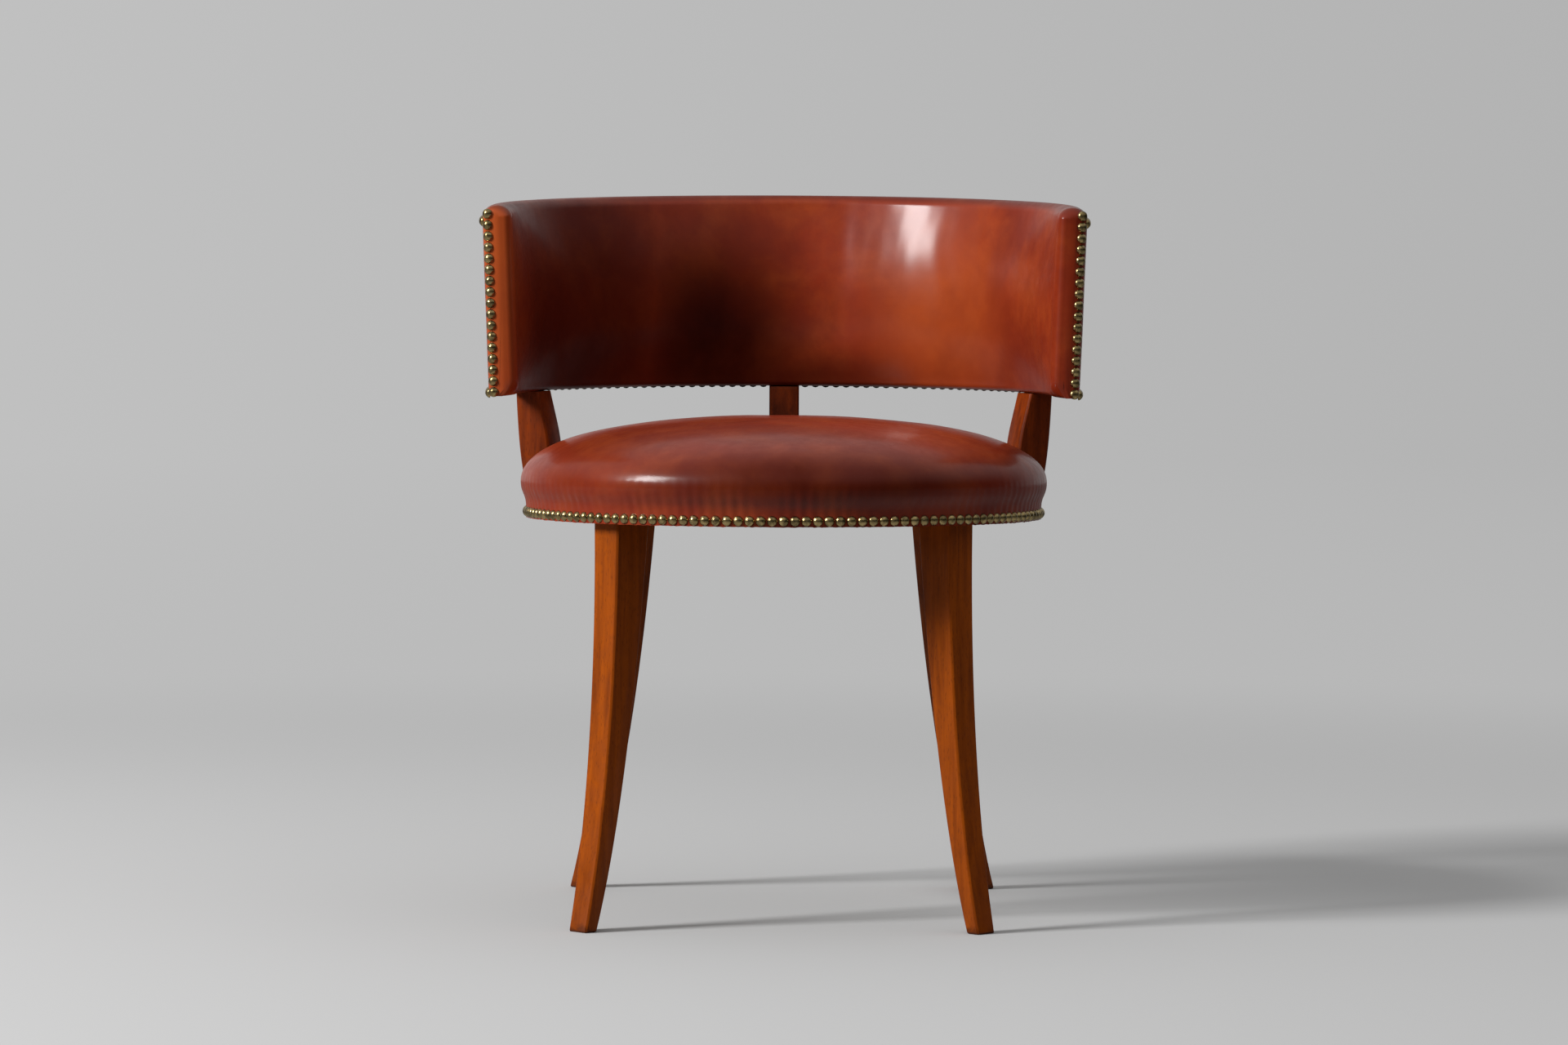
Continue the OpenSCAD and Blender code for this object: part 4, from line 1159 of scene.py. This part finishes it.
def backNailPlaces(s):
    back, panel = backSettings, panelSettings
    rowLength, count = nailRow()
    for i in range(count + 1):
        azimuth = backStart + (panel["rowStart"] + rowLength * i / count) / back["radius"]
        for z in nailHeights(azimuth):
            yield standing(azimuth, outerRadius(z) + s["lift"], z, 0, back["flare"])
    low = lowHeight(backStart) + panel["inset"] + s["endLift"]
    high = topHeight(backStart) - back["cornerRadius"]
    rows = math.floor((high - low) / panel["pitch"])
    azimuth = backStart + back["outerRound"] * (1 - math.cos(s["endTurn"])) / back["radius"]
    inwards = back["outerRound"] * (1 - math.sin(s["endTurn"]))
    for i in range(rows + 1):
        z = low + (high - low) * i / rows
        place = standing(azimuth, outerRadius(z) - inwards, z, s["endTurn"] - math.pi / 2)
        place = place @ Matrix.Translation((0, 0, s["lift"]))
        yield place
        yield Matrix.Diagonal((-1, 1, 1, 1)) @ place


def makeNails(name, node, places):
    dome = makeDome(nailSettings)
    bm = bmesh.new()
    for place in places:
        copied = dome.copy()
        copied.transform(place)
        if place.determinant() < 0:
            copied.flip_normals()
        bm.from_mesh(copied)
        bpy.data.meshes.remove(copied)
    bpy.data.meshes.remove(dome)
    sharpen(bm, 60)
    piece = finishMesh(bm, name)
    piece.data.materials.append(finishes["brass"])
    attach(piece, "root")
    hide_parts(node)
    print(name, "made:", len(piece.data.polygons), "faces")


makeNails("seatNails", "seat_nails", seatNailPlaces(nailSettings))
makeNails("backNails", "back_nails", backNailPlaces(nailSettings))


# finishes on the parts that come from the CAD model
ringTurns = {      # degrees that the grain of a seat rail is turned by
    "seat_rail_front_left": 60, "seat_rail_back_right": 60,
    "seat_rail_front_right": -60, "seat_rail_back_left": -60,
}
slots = {part["node"]: part["material_slot"] for part in frame["record"]["subparts"]}
for name, node in frame["nodes"].items():
    slot = easedSettings["wood"].get(name, slots[name])
    finish = finishes.get(slot, finishes["jute"])
    if name in ringTurns:
        turn = math.radians(ringTurns[name])
        finish = makeWood("bareWood_" + name, woodSettings["bare"], turn, upright=False)
    node.data.materials.clear()
    node.data.materials.append(finish)
print("finishes placed")
